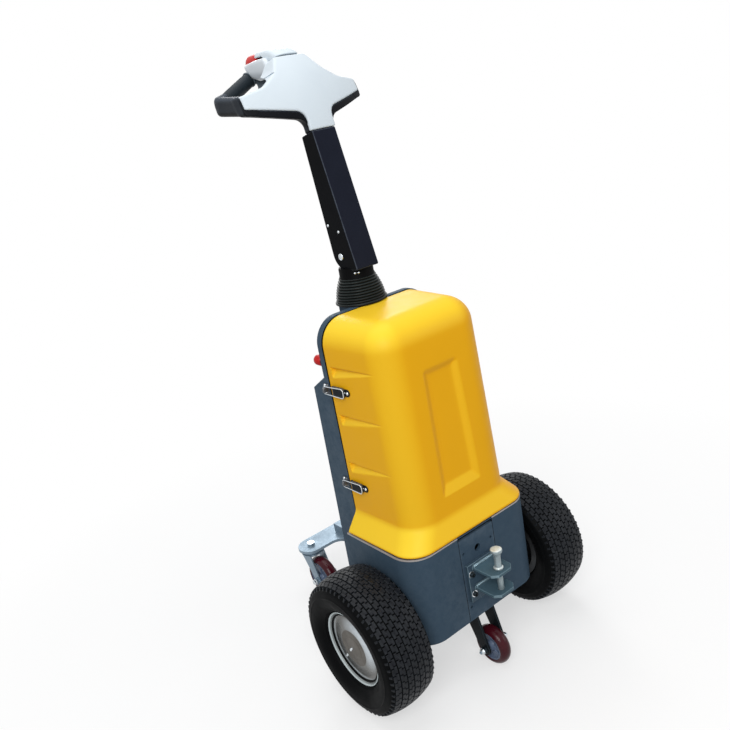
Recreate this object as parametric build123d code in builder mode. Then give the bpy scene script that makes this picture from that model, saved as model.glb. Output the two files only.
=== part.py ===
"""Walk-behind electric tow tug: two driven tyres, a tow clevis at the front and a tiller at the back.

Millimetres. +Z is up, the clevis faces -Y, the driver walks behind at +Y, and X = 0 is the plane of
symmetry. Z = 0 is the ground. The driver's left is +X.
"""
import os
from math import hypot

from build123d import *

os.makedirs("parts", exist_ok=True)

SIDES = (("left", 1), ("right", -1))

# ---- Stance ------------------------------------------------------------------------------------
AXLE_Y = -153.0              # drive axle, along Y from the origin
WHEEL_GAP = 5.0              # tyre to chassis side

# ---- Drive wheels ------------------------------------------------------------------------------
TYRE_RADIUS = 165.0
TYRE_WIDTH = 130.0
SHOULDER_INSET = 9.0         # tread edge in from the sidewall's widest place
SHOULDER_DROP = 9.0          # crown radius less shoulder radius
RIM_RADIUS = 78.0            # bead seat
RIM_FLANGE = 12.0            # flange height over the bead seat
RIM_WIDTH = 88.0             # between the flanges
RIM_WALL = 4.0
DISC_OFFSET = 26.0           # wheel disc, outboard of the wheel's centre plane
HUB_RADIUS = 31.0
HUB_BOSS_STEP = 4.0          # hub radius less its inboard boss's radius
HUB_RIM = 6.0                # hub flange inboard of the disc
HUB_CAP_LENGTH = 13.0        # how far the cap stands out of the disc
HUB_CAP_STEP = 4.0           # straight part of the cap
HUB_CAP_BEVEL = 7.0
STUB_RADIUS = 12.5           # half shaft
STUB_LENGTH = 60.0           # half shaft inside the axle tube
STUB_SLACK = 5.0             # end of the half shaft to the end of its bore
AXLE_TUBE_RADIUS = 19.0
AXLE_TUBE_PROUD = 15.0       # tube's end outside the chassis
TUBE_FLOOR_GAP = 1.0         # tube to chassis floor
TRANSAXLE_HALF = 75.0
TRANSAXLE_FRONT = 52.0       # gearbox ahead of the axle
TRANSAXLE_REAR = 62.0        # gearbox behind the axle
TRANSAXLE_RISE = 73.0        # gearbox above the axle
RUNNING_FIT = 0.05           # shaft to bore, on the radius

# ---- Chassis -----------------------------------------------------------------------------------
SHEET = 3.0
CHASSIS_HALF = 190.0
CHASSIS_HEIGHT = 223.0
CHASSIS_FRONT = 119.0        # front sheet ahead of the axle
CHASSIS_CORNER = 60.0
CHEEK_THICKNESS = 5.0
LIP_WIDTH = 11.0             # folded top edge under the cover
LIP_THICKNESS = 3.0
FLOOR_THICKNESS = 4.0
FRONT_PLATE_HALF = 54.5
FRONT_PLATE_THICKNESS = 8.0
FRONT_SLOT = 8.0             # open above the front plate, under the lip
SPARE_HOLE_INSET = 10.5      # in from the front plate's sides
SPARE_HOLE_FOOT = 35.0       # lower holes above the plate's foot
SPARE_HOLE_DROP = 36.0       # upper holes below the plate's top
SPARE_HOLE_RADIUS = 3.3
CABLE_HOLE_RADIUS = 9.0
CABLE_HOLE_DROP = 40.0       # below the front plate's top
BATTERY_GAP = 4.0            # battery to the cover's sides and recess
BATTERY_REAR_GAP = 11.0
BATTERY_HEIGHT = 215.0

# ---- Tow clevis --------------------------------------------------------------------------------
JAW_HALF = 32.0
JAW_REACH = 78.0             # jaw plates ahead of the front plate
JAW_THICKNESS = 7.0
JAW_HEIGHT = 139.5           # upper plate's upper face above the chassis's bottom edge
JAW_GAP = 44.5               # between the two plates
JAW_CHAMFER = 13.0
CLEVIS_BASE_SIDE = 14.0      # base plate past the jaw plates, each side
CLEVIS_BASE_ABOVE = 7.5      # base plate above the upper jaw plate
CLEVIS_BASE_BELOW = 30.0     # base plate below the lower jaw plate
CLEVIS_BASE_THICKNESS = 8.0
PIN_EDGE = 19.0              # tow pin's axis to the jaw plates' front edge
PIN_RADIUS = 7.0
PIN_CLEARANCE = 0.5
PIN_HEAD_STEP = 6.5          # head radius less pin radius
PIN_HEAD_HEIGHT = 9.0
PIN_HEAD_RISE = 52.5         # top of the head above the upper plate
PIN_COLLAR_STEP = 6.0        # collar radius less pin radius
PIN_COLLAR_HEIGHT = 6.0
PIN_TAIL = 8.0               # below the lower plate
PIN_BEVEL = 2.0

# ---- Cover -------------------------------------------------------------------------------------
COVER_REAR = 106.0           # rear edge behind the axle
COVER_HEIGHT = 508.0
COVER_GAP = 2.0              # chassis lip to the cover's foot
COVER_WALL = 4.0
COVER_EDGE = 60.0            # round of the top edges
COVER_CORNER = 64.0          # round of the upright corners
SKIRT_HEIGHT = 47.0          # flared foot of the cover
SKIRT_PROUD = (5.0, 1.0, 6.0, 2.0)   # past the chassis: rear half width, front half width, front, corner
FLARE = 31.5                 # chassis half width less the column's and the cover's
CREASE_TAPER = 7.5           # rear half width less front half width, above the skirt
CREASE_SETBACK = 17.0        # chassis front to the cover's front, above the skirt
CROWN_DRAFT = 1.5            # column half width less the cover's at its top
CROWN_TAPER = 14.0
CROWN_SETBACK = 35.0
SEAL_THICKNESS = 2.0
SEAL_DEPTH = 7.0
SEAL_FOOT_GAP = 2.0          # seal's foot above the skirt
NOTCH_DROPS = (100.0, 214.0, 332.0)  # upper edges of each side's notches, below the cover's top
NOTCH_REAR_GAP = 14.0        # cover's rear edge to a notch's rear end
NOTCH_FRONT_GAP = 24.0       # a notch's front end to the cover's front
NOTCH_HEIGHT = 23.0
NOTCH_DEPTH = 8.0
RECESS_DROP = 120.0          # upper edge below the cover's top
RECESS_RISE = 48.0           # sill above the skirt
RECESS_SILL = 16.0           # height of the sloping sill
RECESS_TOP_HALF = 48.5
RECESS_BOTTOM_HALF = 56.0
RECESS_DEPTH = 8.0
RECESS_OVERCUT = 2.0         # start of the cut in front of the face
RECESS_CORNER = 14.0

# ---- Column and back panel ---------------------------------------------------------------------
COLUMN_FOOT_DEPTH = 86.0     # front to rear at the floor
COLUMN_HEAD_DEPTH = 68.0     # front to rear at the shoulder
COLUMN_SLOPE = 32.0          # height of the slope from the shoulder in to the panel
PANEL_DROP = 130.0           # panel's foot below the cover's top
PANEL_DEPTH = 17.0
PANEL_RISE = 2.0             # panel's top above the cover's
PEDESTAL_HALF = 41.0
PEDESTAL_TAIL = 38.0         # pedestal behind the tilt axis
PEDESTAL_KNEE_DROP = 66.0    # where its rear face turns in, below the cover's top
PEDESTAL_WALL = 4.0
CONTROLS_DROP = 99.0         # row of controls below the cover's top
STOP_INSET = 18.5            # stop button's axis in from the panel's side
STOP_RADIUS = 12.5
STOP_STEM_RADIUS = 11.5
STOP_STEM = 14.0
STOP_HEAD = 31.0
KEY_SPACE = 43.0             # key switch's axis from the pedestal's side
KEY_RADIUS = 12.0
KEY_COLLAR = 9.0
KEY_BOW = 16.0
KEY_THICKNESS = 3.0
GAUGE_INSET = 50.5           # gauge's axis in from the panel's side
GAUGE_RADIUS = 26.0
GAUGE_DEPTH = 8.0
GAUGE_BEVEL = 2.0

# ---- Draw latches on the cover ------------------------------------------------------------------
LATCH_UPPER_DROP = 155.0     # below the cover's top
LATCH_LOWER_RISE = 72.0      # above the skirt
LATCH_EDGE = 8.0             # base's rear end to the cover's rear edge
LATCH_LENGTH = 58.0
LATCH_WIDTH = 17.0
LATCH_THICKNESS = 2.5
LEVER_LENGTH = 42.0
LEVER_WIDTH = 21.0
LEVER_THICKNESS = 6.0
BAIL_WIRE = 2.6
CATCH_REACH = 9.0            # bail's outer end behind the column's front edge
CATCH_HEIGHT = 6.0
CATCH_PEG = 4.0
CATCH_FOOT = 12.0
CATCH_SLACK = 1.0
SEAT_GAP = 0.3               # latches and cover

# ---- Tiller -------------------------------------------------------------------------------------
PIVOT_SETBACK = 24.0         # tilt axis behind the panel
PIVOT_RISE = 30.0            # tilt axis above the flange
PIVOT_RADIUS = 8.0
FLANGE_GAP = 2.0             # panel's top to the tiller's flange
FLANGE_THICKNESS = 3.0
EAR_THICKNESS = 6.0
EAR_RADIUS = 15.0
EAR_GAP = 2.5                # post to ear
POST_DEPTH = 40.0
POST_RISE = 101.0            # post's top above the tilt axis
BELLOWS_HEIGHT = 55.0
BELLOWS_POST_GAP = 1.35      # post's corners to the top of the bellows
BELLOWS_SPREAD = 18.0        # base radius less top radius
BELLOWS_WALL = 3.0
BELLOWS_INSET = 2.0          # flange radius less the bellows's base radius
ARM_HALF = 31.3
ARM_WALL = 3.0
ARM_ROUND = 38.0             # lower rear corner
# The arm's side view: behind the tilt axis, above the tilt axis.
ARM_FRONT_BOTTOM = (-48.6, 45.0)
ARM_FRONT_TOP = (22.0, 353.0)
ARM_REAR_TOP = (68.0, 342.0)
ARM_REAR_BOTTOM = (30.0, 42.0)

# ---- Tiller head: places are behind and above the arm's front top edge ---------------------------
# The head's curved face on X = 0: neck foot, middle, top.
FACE_POINTS = ((-6.9, -30.0), (32.0, 102.0), (104.0, 190.0))
FACE_SWEEP = 36.0            # the face's wing ends behind its middle
FACE_SECTIONS = ((0.0, 0.0), (0.5, 0.27), (1.0, 1.0))   # share of the wing's span, share of the sweep
SHIELD_THICKNESS = 11.0
SHIELD_INSET = 6.0           # side arm's outer face to the wing's end
BACKING_THICKNESS = 31.0
NECK_PROUD = 1.7             # neck past the arm, each side
NECK_FILLET = 24.0
NECK_FOOT = -30.0
WING_ROOT = 40.0
WING_LOW = 66.0
WING_HIGH = 93.0
SHIELD_TOP = 172.0
WING_ELBOW = (98.0, 105.0)    # where the wing's upper edge turns up to the hub
WING_HAUNCH = (61.0, 130.0)   # where it turns up more steeply
BACKING_DROP = 11.0          # the backing's wings below the shield's
HUB_FRONT = 61.0
HUB_REAR = 213.0
HUB_BLOCK_HALF = 33.0
HUB_FRONT_TOP = 171.0        # hub's top at its front end
HUB_TOP = 185.0              # hub's top at its rear end
HUB_MIDDLE = 153.0
HUB_BOTTOM = 104.0
HUB_ROUND = 26.0
BUTTON_INSET = 9.0           # hub's side to the belly button's
BUTTON_Z = 158.0            # button's middle
BUTTON_HALF_HEIGHT = 24.0
BUTTON_EDGE = 2.0            # straight part of the button's sides, each way from the middle
BUTTON_LENGTH = 21.0
PADDLE_Y = 165.0
PADDLE_Z = 150.0
PADDLE_LENGTH = 98.0
PADDLE_HEIGHT = 50.0
PADDLE_THICKNESS = 18.0
GRIP_RADIUS = 16.0
COLLAR_STEP = 2.0            # collar radius less grip radius
COLLAR_LENGTH = 25.0         # collar outside the hub's side
GRIP_INNER_Y = 188.0
GRIP_OUTER_Y = 175.0
GRIP_INNER_Z = 125.0
GRIP_OUTER_Z = 89.0
GRIP_INSERT = 7.0            # grip's end inside the side arm
SIDE_ARM_OUTER = 158.0
SIDE_ARM_WIDTH = 32.0
SIDE_ARM_FRONT = 62.0
SIDE_ARM_REAR = 197.0
SIDE_ARM_HEIGHT = 41.0
SIDE_ARM_ROUND = 12.0
SIDE_ARM_CORNER = 26.0       # round of the handle's outer rear corners, seen from above
SIDE_ARM_FRONT_Z = 72.0      # middle of the arm's front end
SIDE_ARM_REAR_Z = 85.0       # middle of the arm's rear end

# ---- Small wheels -------------------------------------------------------------------------------
TREAD_THICKNESS = 14.0
TREAD_ROUND = 5.0
CORE_STEP = 1.5              # core narrower than the tread, each side
CORE_WEB = 10.0
WEB_RADIUS = 22.0
BOSS_RADIUS = 13.0
BOSS_STEP = 2.5              # boss wider than the tread, each side
WHEEL_BOLT_RADIUS = 5.0
BOLT_HEAD_RADIUS = 9.0
BOLT_HEAD_HEIGHT = 6.0

# ---- Front support wheel ------------------------------------------------------------------------
FRONT_WHEEL_RADIUS = 48.5
FRONT_WHEEL_WIDTH = 32.0
FRONT_WHEEL_REACH = 4.0      # wheel's axis ahead of the chassis front
FRONT_FORK_GAP = 4.5         # wheel's boss to the fork's arm
FRONT_FORK_THICKNESS = 6.0
FRONT_FORK_PLATE = 5.0
FRONT_ARM_ROOT = 46.0        # along the chassis
FRONT_ARM_END = 15.0

# ---- Rear bar and casters -----------------------------------------------------------------------
BAR_Y = 465.0                # crossbar middle behind the axle
BAR_DEPTH = 75.0
BAR_THICKNESS = 8.0
TONGUE_HALF = 25.0
TONGUE_FRONT = 70.0          # behind the axle
TONGUE_FILLET = 35.0
BEAM_HALF = 20.0
BEAM_HEIGHT = 26.0
CASTER_HEADROOM = 6.4        # wheel to the fork's crown
CASTER_SWING_GAP = 5.5       # swung caster to the middle of the bar
CASTER_WIDTH = 32.0
CASTER_TRAIL = 38.0
CASTER_FORK_GAP = 2.5        # wheel's boss to the fork's arm
CASTER_FORK_THICKNESS = 3.5
CASTER_CROWN_RADIUS = 31.0
CASTER_CROWN = 4.0
CASTER_ARM_ROOT = 24.0
CASTER_ARM_END = 14.0
RACE_HEIGHT = 9.0
RACE_STEP = 4.0              # crown radius less race radius
CASTER_GAP = 0.6             # race to bar
KINGPIN_RADIUS = 6.0
KINGPIN_NUT_RADIUS = 12.0
KINGPIN_NUT_HEIGHT = 8.0

# ---- Derived sizes and places -------------------------------------------------------------------
TRACK_HALF = CHASSIS_HALF + WHEEL_GAP + TYRE_WIDTH / 2
AXLE_TUBE_END = CHASSIS_HALF + AXLE_TUBE_PROUD
TUBE_BORE_END = AXLE_TUBE_END - STUB_LENGTH - STUB_SLACK
RIM_FLANGE_RADIUS = RIM_RADIUS + RIM_FLANGE
TRANSAXLE_TOP = TYRE_RADIUS + TRANSAXLE_RISE

FLOOR_TOP = TYRE_RADIUS - AXLE_TUBE_RADIUS - TUBE_FLOOR_GAP
CHASSIS_BOTTOM = FLOOR_TOP - FLOOR_THICKNESS
CHASSIS_TOP = CHASSIS_BOTTOM + CHASSIS_HEIGHT
FRONT_Y = AXLE_Y - CHASSIS_FRONT
FRONT_PLATE_TOP = CHASSIS_TOP - LIP_THICKNESS - FRONT_SLOT
SPARE_HOLE_X = FRONT_PLATE_HALF - SPARE_HOLE_INSET
SPARE_HOLE_HEIGHTS = (CHASSIS_BOTTOM + SPARE_HOLE_FOOT, FRONT_PLATE_TOP - SPARE_HOLE_DROP)

JAW_TOP = CHASSIS_BOTTOM + JAW_HEIGHT
JAW_LOWER_TOP = JAW_TOP - JAW_THICKNESS - JAW_GAP
CLEVIS_BASE_HALF = JAW_HALF + CLEVIS_BASE_SIDE
CLEVIS_BASE_BOTTOM = JAW_LOWER_TOP - JAW_THICKNESS - CLEVIS_BASE_BELOW
CLEVIS_BASE_TOP = JAW_TOP + CLEVIS_BASE_ABOVE
PIN_PLACE_Y = FRONT_Y - JAW_REACH + PIN_EDGE
PIN_HEAD_RADIUS = PIN_RADIUS + PIN_HEAD_STEP
PIN_HEAD_TOP = JAW_TOP + PIN_HEAD_RISE

COLUMN_HALF = CHASSIS_HALF - FLARE
COLUMN_FRONT = COVER_REAR + SEAL_THICKNESS
COLUMN_FOOT_REAR = COLUMN_FRONT + COLUMN_FOOT_DEPTH
COLUMN_HEAD_REAR = COLUMN_FRONT + COLUMN_HEAD_DEPTH
CHASSIS_REAR = COLUMN_FRONT + CHEEK_THICKNESS

COVER_FOOT = CHASSIS_TOP + COVER_GAP
COVER_TOP = COVER_FOOT + COVER_HEIGHT
CREASE_Z = COVER_FOOT + SKIRT_HEIGHT
CROWN_FRONT = CHASSIS_FRONT - CROWN_SETBACK
# height, rear half width, front half width, front ahead of the axle, corner radius
COVER_SKIRT = (COVER_FOOT, CHASSIS_HALF + SKIRT_PROUD[0], CHASSIS_HALF + SKIRT_PROUD[1],
               CHASSIS_FRONT + SKIRT_PROUD[2], CHASSIS_CORNER + SKIRT_PROUD[3])
COVER_CREASE = (CREASE_Z, COLUMN_HALF, COLUMN_HALF - CREASE_TAPER, CHASSIS_FRONT - CREASE_SETBACK,
                COVER_CORNER)
COVER_CROWN = (COVER_TOP, COLUMN_HALF - CROWN_DRAFT, COLUMN_HALF - CROWN_DRAFT - CROWN_TAPER,
               CROWN_FRONT, COVER_CORNER)
NOTCH_HEIGHTS = tuple(COVER_TOP - drop for drop in NOTCH_DROPS)
NOTCH_REAR = COVER_REAR - NOTCH_REAR_GAP
NOTCH_FRONT = CROWN_FRONT - NOTCH_FRONT_GAP
RECESS_TOP = COVER_TOP - RECESS_DROP
RECESS_BOTTOM = CREASE_Z + RECESS_RISE
SEAL_FOOT = CREASE_Z + SEAL_FOOT_GAP
BATTERY_HALF = COVER_CROWN[2] - COVER_WALL - BATTERY_GAP
BATTERY_FRONT = CROWN_FRONT - RECESS_DEPTH - COVER_WALL - BATTERY_GAP
BATTERY_REAR = COVER_REAR - BATTERY_REAR_GAP

PANEL_BOTTOM = COVER_TOP - PANEL_DROP
PANEL_TOP = COVER_TOP + PANEL_RISE
PANEL_REAR = COLUMN_FRONT + PANEL_DEPTH
COLUMN_SHOULDER = PANEL_BOTTOM - COLUMN_SLOPE
CONTROLS_Z = COVER_TOP - CONTROLS_DROP
STOP_PLACE = (STOP_INSET - COLUMN_HALF, CONTROLS_Z)
KEY_PLACE = (-PEDESTAL_HALF - KEY_SPACE, CONTROLS_Z)
GAUGE_PLACE = (COLUMN_HALF - GAUGE_INSET, CONTROLS_Z)

LATCH_HEIGHTS = (COVER_TOP - LATCH_UPPER_DROP, CREASE_Z + LATCH_LOWER_RISE)
LATCH_FRONT = COVER_REAR - LATCH_EDGE - LATCH_LENGTH
CATCH_Y = COLUMN_FRONT + CATCH_REACH

FLANGE_Z = PANEL_TOP + FLANGE_GAP
FLANGE_TOP = FLANGE_Z + FLANGE_THICKNESS
PIVOT_Y = AXLE_Y + PANEL_REAR + PIVOT_SETBACK
PIVOT_Z = FLANGE_TOP + PIVOT_RISE
PEDESTAL_REAR = PANEL_REAR + PIVOT_SETBACK + PEDESTAL_TAIL
PEDESTAL_KNEE = COVER_TOP - PEDESTAL_KNEE_DROP
POST_HALF = ARM_HALF - ARM_WALL
BELLOWS_TOP_RADIUS = hypot(POST_HALF, POST_DEPTH / 2) + BELLOWS_POST_GAP + BELLOWS_WALL
BELLOWS_BASE_RADIUS = BELLOWS_TOP_RADIUS + BELLOWS_SPREAD
FLANGE_RADIUS = BELLOWS_BASE_RADIUS + BELLOWS_INSET
ARM_TOP_Y = PIVOT_Y + ARM_FRONT_TOP[0]
ARM_TOP_Z = PIVOT_Z + ARM_FRONT_TOP[1]
NECK_HALF = ARM_HALF + NECK_PROUD
SHIELD_WING_HALF = SIDE_ARM_OUTER - SHIELD_INSET
GRIP_INNER = (HUB_BLOCK_HALF + COLLAR_LENGTH, ARM_TOP_Y + GRIP_INNER_Y, ARM_TOP_Z + GRIP_INNER_Z)
GRIP_OUTER = (
    SIDE_ARM_OUTER - SIDE_ARM_WIDTH + GRIP_INSERT,
    ARM_TOP_Y + GRIP_OUTER_Y,
    ARM_TOP_Z + GRIP_OUTER_Z,
)

FRONT_AXLE = (0, FRONT_Y - FRONT_WHEEL_REACH, FRONT_WHEEL_RADIUS)
FRONT_FORK_INNER = FRONT_WHEEL_WIDTH / 2 + BOSS_STEP + FRONT_FORK_GAP
BAR_BOTTOM = FLOOR_TOP
CROWN_TOP = BAR_BOTTOM - CASTER_GAP - RACE_HEIGHT
CROWN_BOTTOM = CROWN_TOP - CASTER_CROWN
CASTER_RADIUS = (CROWN_BOTTOM - CASTER_HEADROOM) / 2
CASTER_X = CASTER_TRAIL + CASTER_RADIUS + CASTER_SWING_GAP
CASTER_FORK_INNER = CASTER_WIDTH / 2 + BOSS_STEP + CASTER_FORK_GAP


def save(part, name):
    """Label a finished piece and write it to its own file."""
    part.label = name
    export_step(part, f"parts/{name}.step")


def behind(point):
    """Turn a (distance behind the axle, height) pair into this frame's (Y, Z)."""
    return (AXLE_Y + point[0], point[1])


def from_pivot(point):
    """Turn a (behind the tilt axis, above the tilt axis) pair into this frame's (Y, Z)."""
    return (PIVOT_Y + point[0], PIVOT_Z + point[1])


def plan_outline(rear_half, front_half, front, rear, corner):
    """Plan of the body: square at the back, two rounded corners at the front."""
    with BuildSketch(Plane.XY) as outline:
        Polygon(
            (-rear_half, AXLE_Y + rear),
            (-front_half, AXLE_Y - front),
            (front_half, AXLE_Y - front),
            (rear_half, AXLE_Y + rear),
            align=None,
        )
        fillet(outline.vertices().sort_by(Axis.Y)[:2], corner)
    return outline.sketch_local


def arch_outline(half, foot, top, corner):
    """Upright outline, square at the foot, with two rounded corners at the top."""
    with BuildSketch(Plane.XY) as outline:
        Polygon((-half, foot), (half, foot), (half, top), (-half, top), align=None)
        fillet(outline.vertices().sort_by(Axis.Y)[-2:], corner)
    return outline.sketch_local


def back_plane(distance):
    """Upright plane across the object, at a distance behind the axle: local axes are X and Z."""
    return Plane((0, AXLE_Y + distance, 0), x_dir=(1, 0, 0), z_dir=(0, -1, 0))


def side_plane(x):
    """Vertical plane at X = x, whose local axes are the object's Y and Z."""
    return Plane((x, 0, 0), x_dir=(0, 1, 0), z_dir=(1, 0, 0))


def wheel_plane(x, y, z):
    """Plane through a wheel's axis: local x is the object's X, local y is up."""
    return Plane((x, y, z), x_dir=(1, 0, 0), z_dir=(0, -1, 0))


# ==== Chassis ====================================================================================
skirt_outer = plan_outline(CHASSIS_HALF, CHASSIS_HALF, CHASSIS_FRONT, CHASSIS_REAR, CHASSIS_CORNER)
skirt_inner = plan_outline(CHASSIS_HALF - SHEET, CHASSIS_HALF - SHEET, CHASSIS_FRONT - SHEET,
                           CHASSIS_REAR, CHASSIS_CORNER - SHEET)
lip_inner = plan_outline(CHASSIS_HALF - LIP_WIDTH, CHASSIS_HALF - LIP_WIDTH, CHASSIS_FRONT - LIP_WIDTH,
                         CHASSIS_REAR, CHASSIS_CORNER - LIP_WIDTH)

with BuildPart() as chassis_skirt:
    with BuildSketch(Plane.XY.offset(CHASSIS_BOTTOM)):
        add(skirt_outer)
        add(skirt_inner, mode=Mode.SUBTRACT)
    extrude(amount=CHASSIS_TOP - CHASSIS_BOTTOM)
    with BuildSketch(Plane.XY.offset(CHASSIS_TOP - LIP_THICKNESS)):
        add(skirt_outer)
        add(lip_inner, mode=Mode.SUBTRACT)
    extrude(amount=LIP_THICKNESS)
    # The front plate's window, as high as the plate and the slot above it.
    with BuildSketch(Plane.XZ.offset(-FRONT_Y)):
        with Locations((0, (CHASSIS_BOTTOM + CHASSIS_TOP - LIP_THICKNESS) / 2)):
            Rectangle(2 * FRONT_PLATE_HALF, CHASSIS_TOP - LIP_THICKNESS - CHASSIS_BOTTOM)
    extrude(amount=2 * SHEET, both=True, mode=Mode.SUBTRACT)
    # Axle tube holes.
    with BuildSketch(side_plane(0)):
        with Locations((AXLE_Y, TYRE_RADIUS)):
            Circle(AXLE_TUBE_RADIUS)
    extrude(amount=CHASSIS_HALF + SHEET, both=True, mode=Mode.SUBTRACT)
save(chassis_skirt.part, "chassis_skirt")

with BuildPart() as chassis_floor:
    with BuildSketch(Plane.XY.offset(CHASSIS_BOTTOM)):
        add(skirt_inner)
        with Locations((0, AXLE_Y + (CHASSIS_REAR + COLUMN_FOOT_REAR) / 2)):
            Rectangle(2 * COLUMN_HALF, COLUMN_FOOT_REAR - CHASSIS_REAR)
        # The front plate passes down in front of the floor.
        with Locations((0, FRONT_Y + FRONT_PLATE_THICKNESS / 2)):
            Rectangle(2 * FRONT_PLATE_HALF, FRONT_PLATE_THICKNESS, mode=Mode.SUBTRACT)
    extrude(amount=FLOOR_THICKNESS)
save(chassis_floor.part, "chassis_floor")

with BuildPart() as front_plate:
    with BuildSketch(Plane.XZ.offset(-FRONT_Y)):
        with Locations((0, (CHASSIS_BOTTOM + FRONT_PLATE_TOP) / 2)):
            Rectangle(2 * FRONT_PLATE_HALF, FRONT_PLATE_TOP - CHASSIS_BOTTOM)
        for height in SPARE_HOLE_HEIGHTS:
            with Locations((-SPARE_HOLE_X, height), (SPARE_HOLE_X, height)):
                Circle(SPARE_HOLE_RADIUS, mode=Mode.SUBTRACT)
        with Locations((0, FRONT_PLATE_TOP - CABLE_HOLE_DROP)):
            Circle(CABLE_HOLE_RADIUS, mode=Mode.SUBTRACT)
    extrude(amount=-FRONT_PLATE_THICKNESS)
save(front_plate.part, "front_plate")

# Two plates close the gap between the skirt's rear edge and the column, up to the cover's flare.
with BuildPart() as rear_cheeks:
    with BuildSketch(Plane.XZ.offset(-(AXLE_Y + CHASSIS_REAR))):
        Polygon(
            (COLUMN_HALF, FLOOR_TOP),
            (CHASSIS_HALF - SHEET, FLOOR_TOP),
            (CHASSIS_HALF - SHEET, CHASSIS_TOP - LIP_THICKNESS),
            (CHASSIS_HALF - LIP_WIDTH, CHASSIS_TOP - LIP_THICKNESS),
            (CHASSIS_HALF - LIP_WIDTH, CHASSIS_TOP),
            (COLUMN_HALF, CREASE_Z - LIP_WIDTH),
            align=None,
        )
        mirror(about=Plane.YZ)
    extrude(amount=CHASSIS_REAR - COLUMN_FRONT)
save(rear_cheeks.part, "rear_cheeks")

# ==== Tow clevis and pin =========================================================================
with BuildPart() as tow_clevis:
    with BuildSketch(Plane.XZ.offset(-FRONT_Y)):
        with Locations((0, (CLEVIS_BASE_BOTTOM + CLEVIS_BASE_TOP) / 2)):
            Rectangle(2 * CLEVIS_BASE_HALF, CLEVIS_BASE_TOP - CLEVIS_BASE_BOTTOM)
    extrude(amount=CLEVIS_BASE_THICKNESS)
    for jaw_top in (JAW_TOP, JAW_LOWER_TOP):
        with BuildSketch(Plane.XY.offset(jaw_top - JAW_THICKNESS)) as jaw:
            with Locations((0, FRONT_Y - JAW_REACH / 2)):
                Rectangle(2 * JAW_HALF, JAW_REACH)
            chamfer(jaw.vertices().sort_by(Axis.Y)[:2], JAW_CHAMFER)
            with Locations((0, PIN_PLACE_Y)):
                Circle(PIN_RADIUS + PIN_CLEARANCE, mode=Mode.SUBTRACT)
        extrude(amount=JAW_THICKNESS)
save(tow_clevis.part, "tow_clevis")

with BuildPart() as tow_pin:
    pin_bottom = JAW_LOWER_TOP - JAW_THICKNESS - PIN_TAIL
    with BuildSketch(wheel_plane(0, PIN_PLACE_Y, 0)):
        Polygon(
            (0, pin_bottom),
            (PIN_RADIUS - PIN_BEVEL, pin_bottom),
            (PIN_RADIUS, pin_bottom + PIN_BEVEL),
            (PIN_RADIUS, JAW_TOP),
            (PIN_RADIUS + PIN_COLLAR_STEP, JAW_TOP),
            (PIN_RADIUS + PIN_COLLAR_STEP, JAW_TOP + PIN_COLLAR_HEIGHT),
            (PIN_RADIUS, JAW_TOP + PIN_COLLAR_HEIGHT),
            (PIN_RADIUS, PIN_HEAD_TOP - PIN_HEAD_HEIGHT),
            (PIN_HEAD_RADIUS, PIN_HEAD_TOP - PIN_HEAD_HEIGHT + PIN_BEVEL),
            (PIN_HEAD_RADIUS, PIN_HEAD_TOP - PIN_BEVEL),
            (PIN_HEAD_RADIUS - PIN_BEVEL, PIN_HEAD_TOP),
            (0, PIN_HEAD_TOP),
            align=None,
        )
    revolve(axis=Axis((0, PIN_PLACE_Y, 0), (0, 0, 1)))
save(tow_pin.part, "tow_pin")

# ==== Drive axle, gearbox and battery ============================================================
with BuildPart() as drive_axle:
    with BuildSketch(side_plane(0)):
        with Locations((AXLE_Y + (TRANSAXLE_REAR - TRANSAXLE_FRONT) / 2, (FLOOR_TOP + TRANSAXLE_TOP) / 2)):
            Rectangle(TRANSAXLE_REAR + TRANSAXLE_FRONT, TRANSAXLE_TOP - FLOOR_TOP)
    extrude(amount=TRANSAXLE_HALF, both=True)
    with BuildSketch(side_plane(0)):
        with Locations((AXLE_Y, TYRE_RADIUS)):
            Circle(AXLE_TUBE_RADIUS)
    extrude(amount=AXLE_TUBE_END, both=True)
    for name, side in SIDES:
        with BuildSketch(side_plane(side * TUBE_BORE_END)):
            with Locations((AXLE_Y, TYRE_RADIUS)):
                Circle(STUB_RADIUS + RUNNING_FIT)
        extrude(amount=side * (AXLE_TUBE_END - TUBE_BORE_END), mode=Mode.SUBTRACT)
save(drive_axle.part, "drive_axle")

with BuildPart() as battery_block:
    with BuildSketch(Plane.XY.offset(TRANSAXLE_TOP)):
        with Locations((0, AXLE_Y + (BATTERY_REAR - BATTERY_FRONT) / 2)):
            Rectangle(2 * BATTERY_HALF, BATTERY_REAR + BATTERY_FRONT)
    extrude(amount=BATTERY_HEIGHT)
save(battery_block.part, "battery_block")

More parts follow.
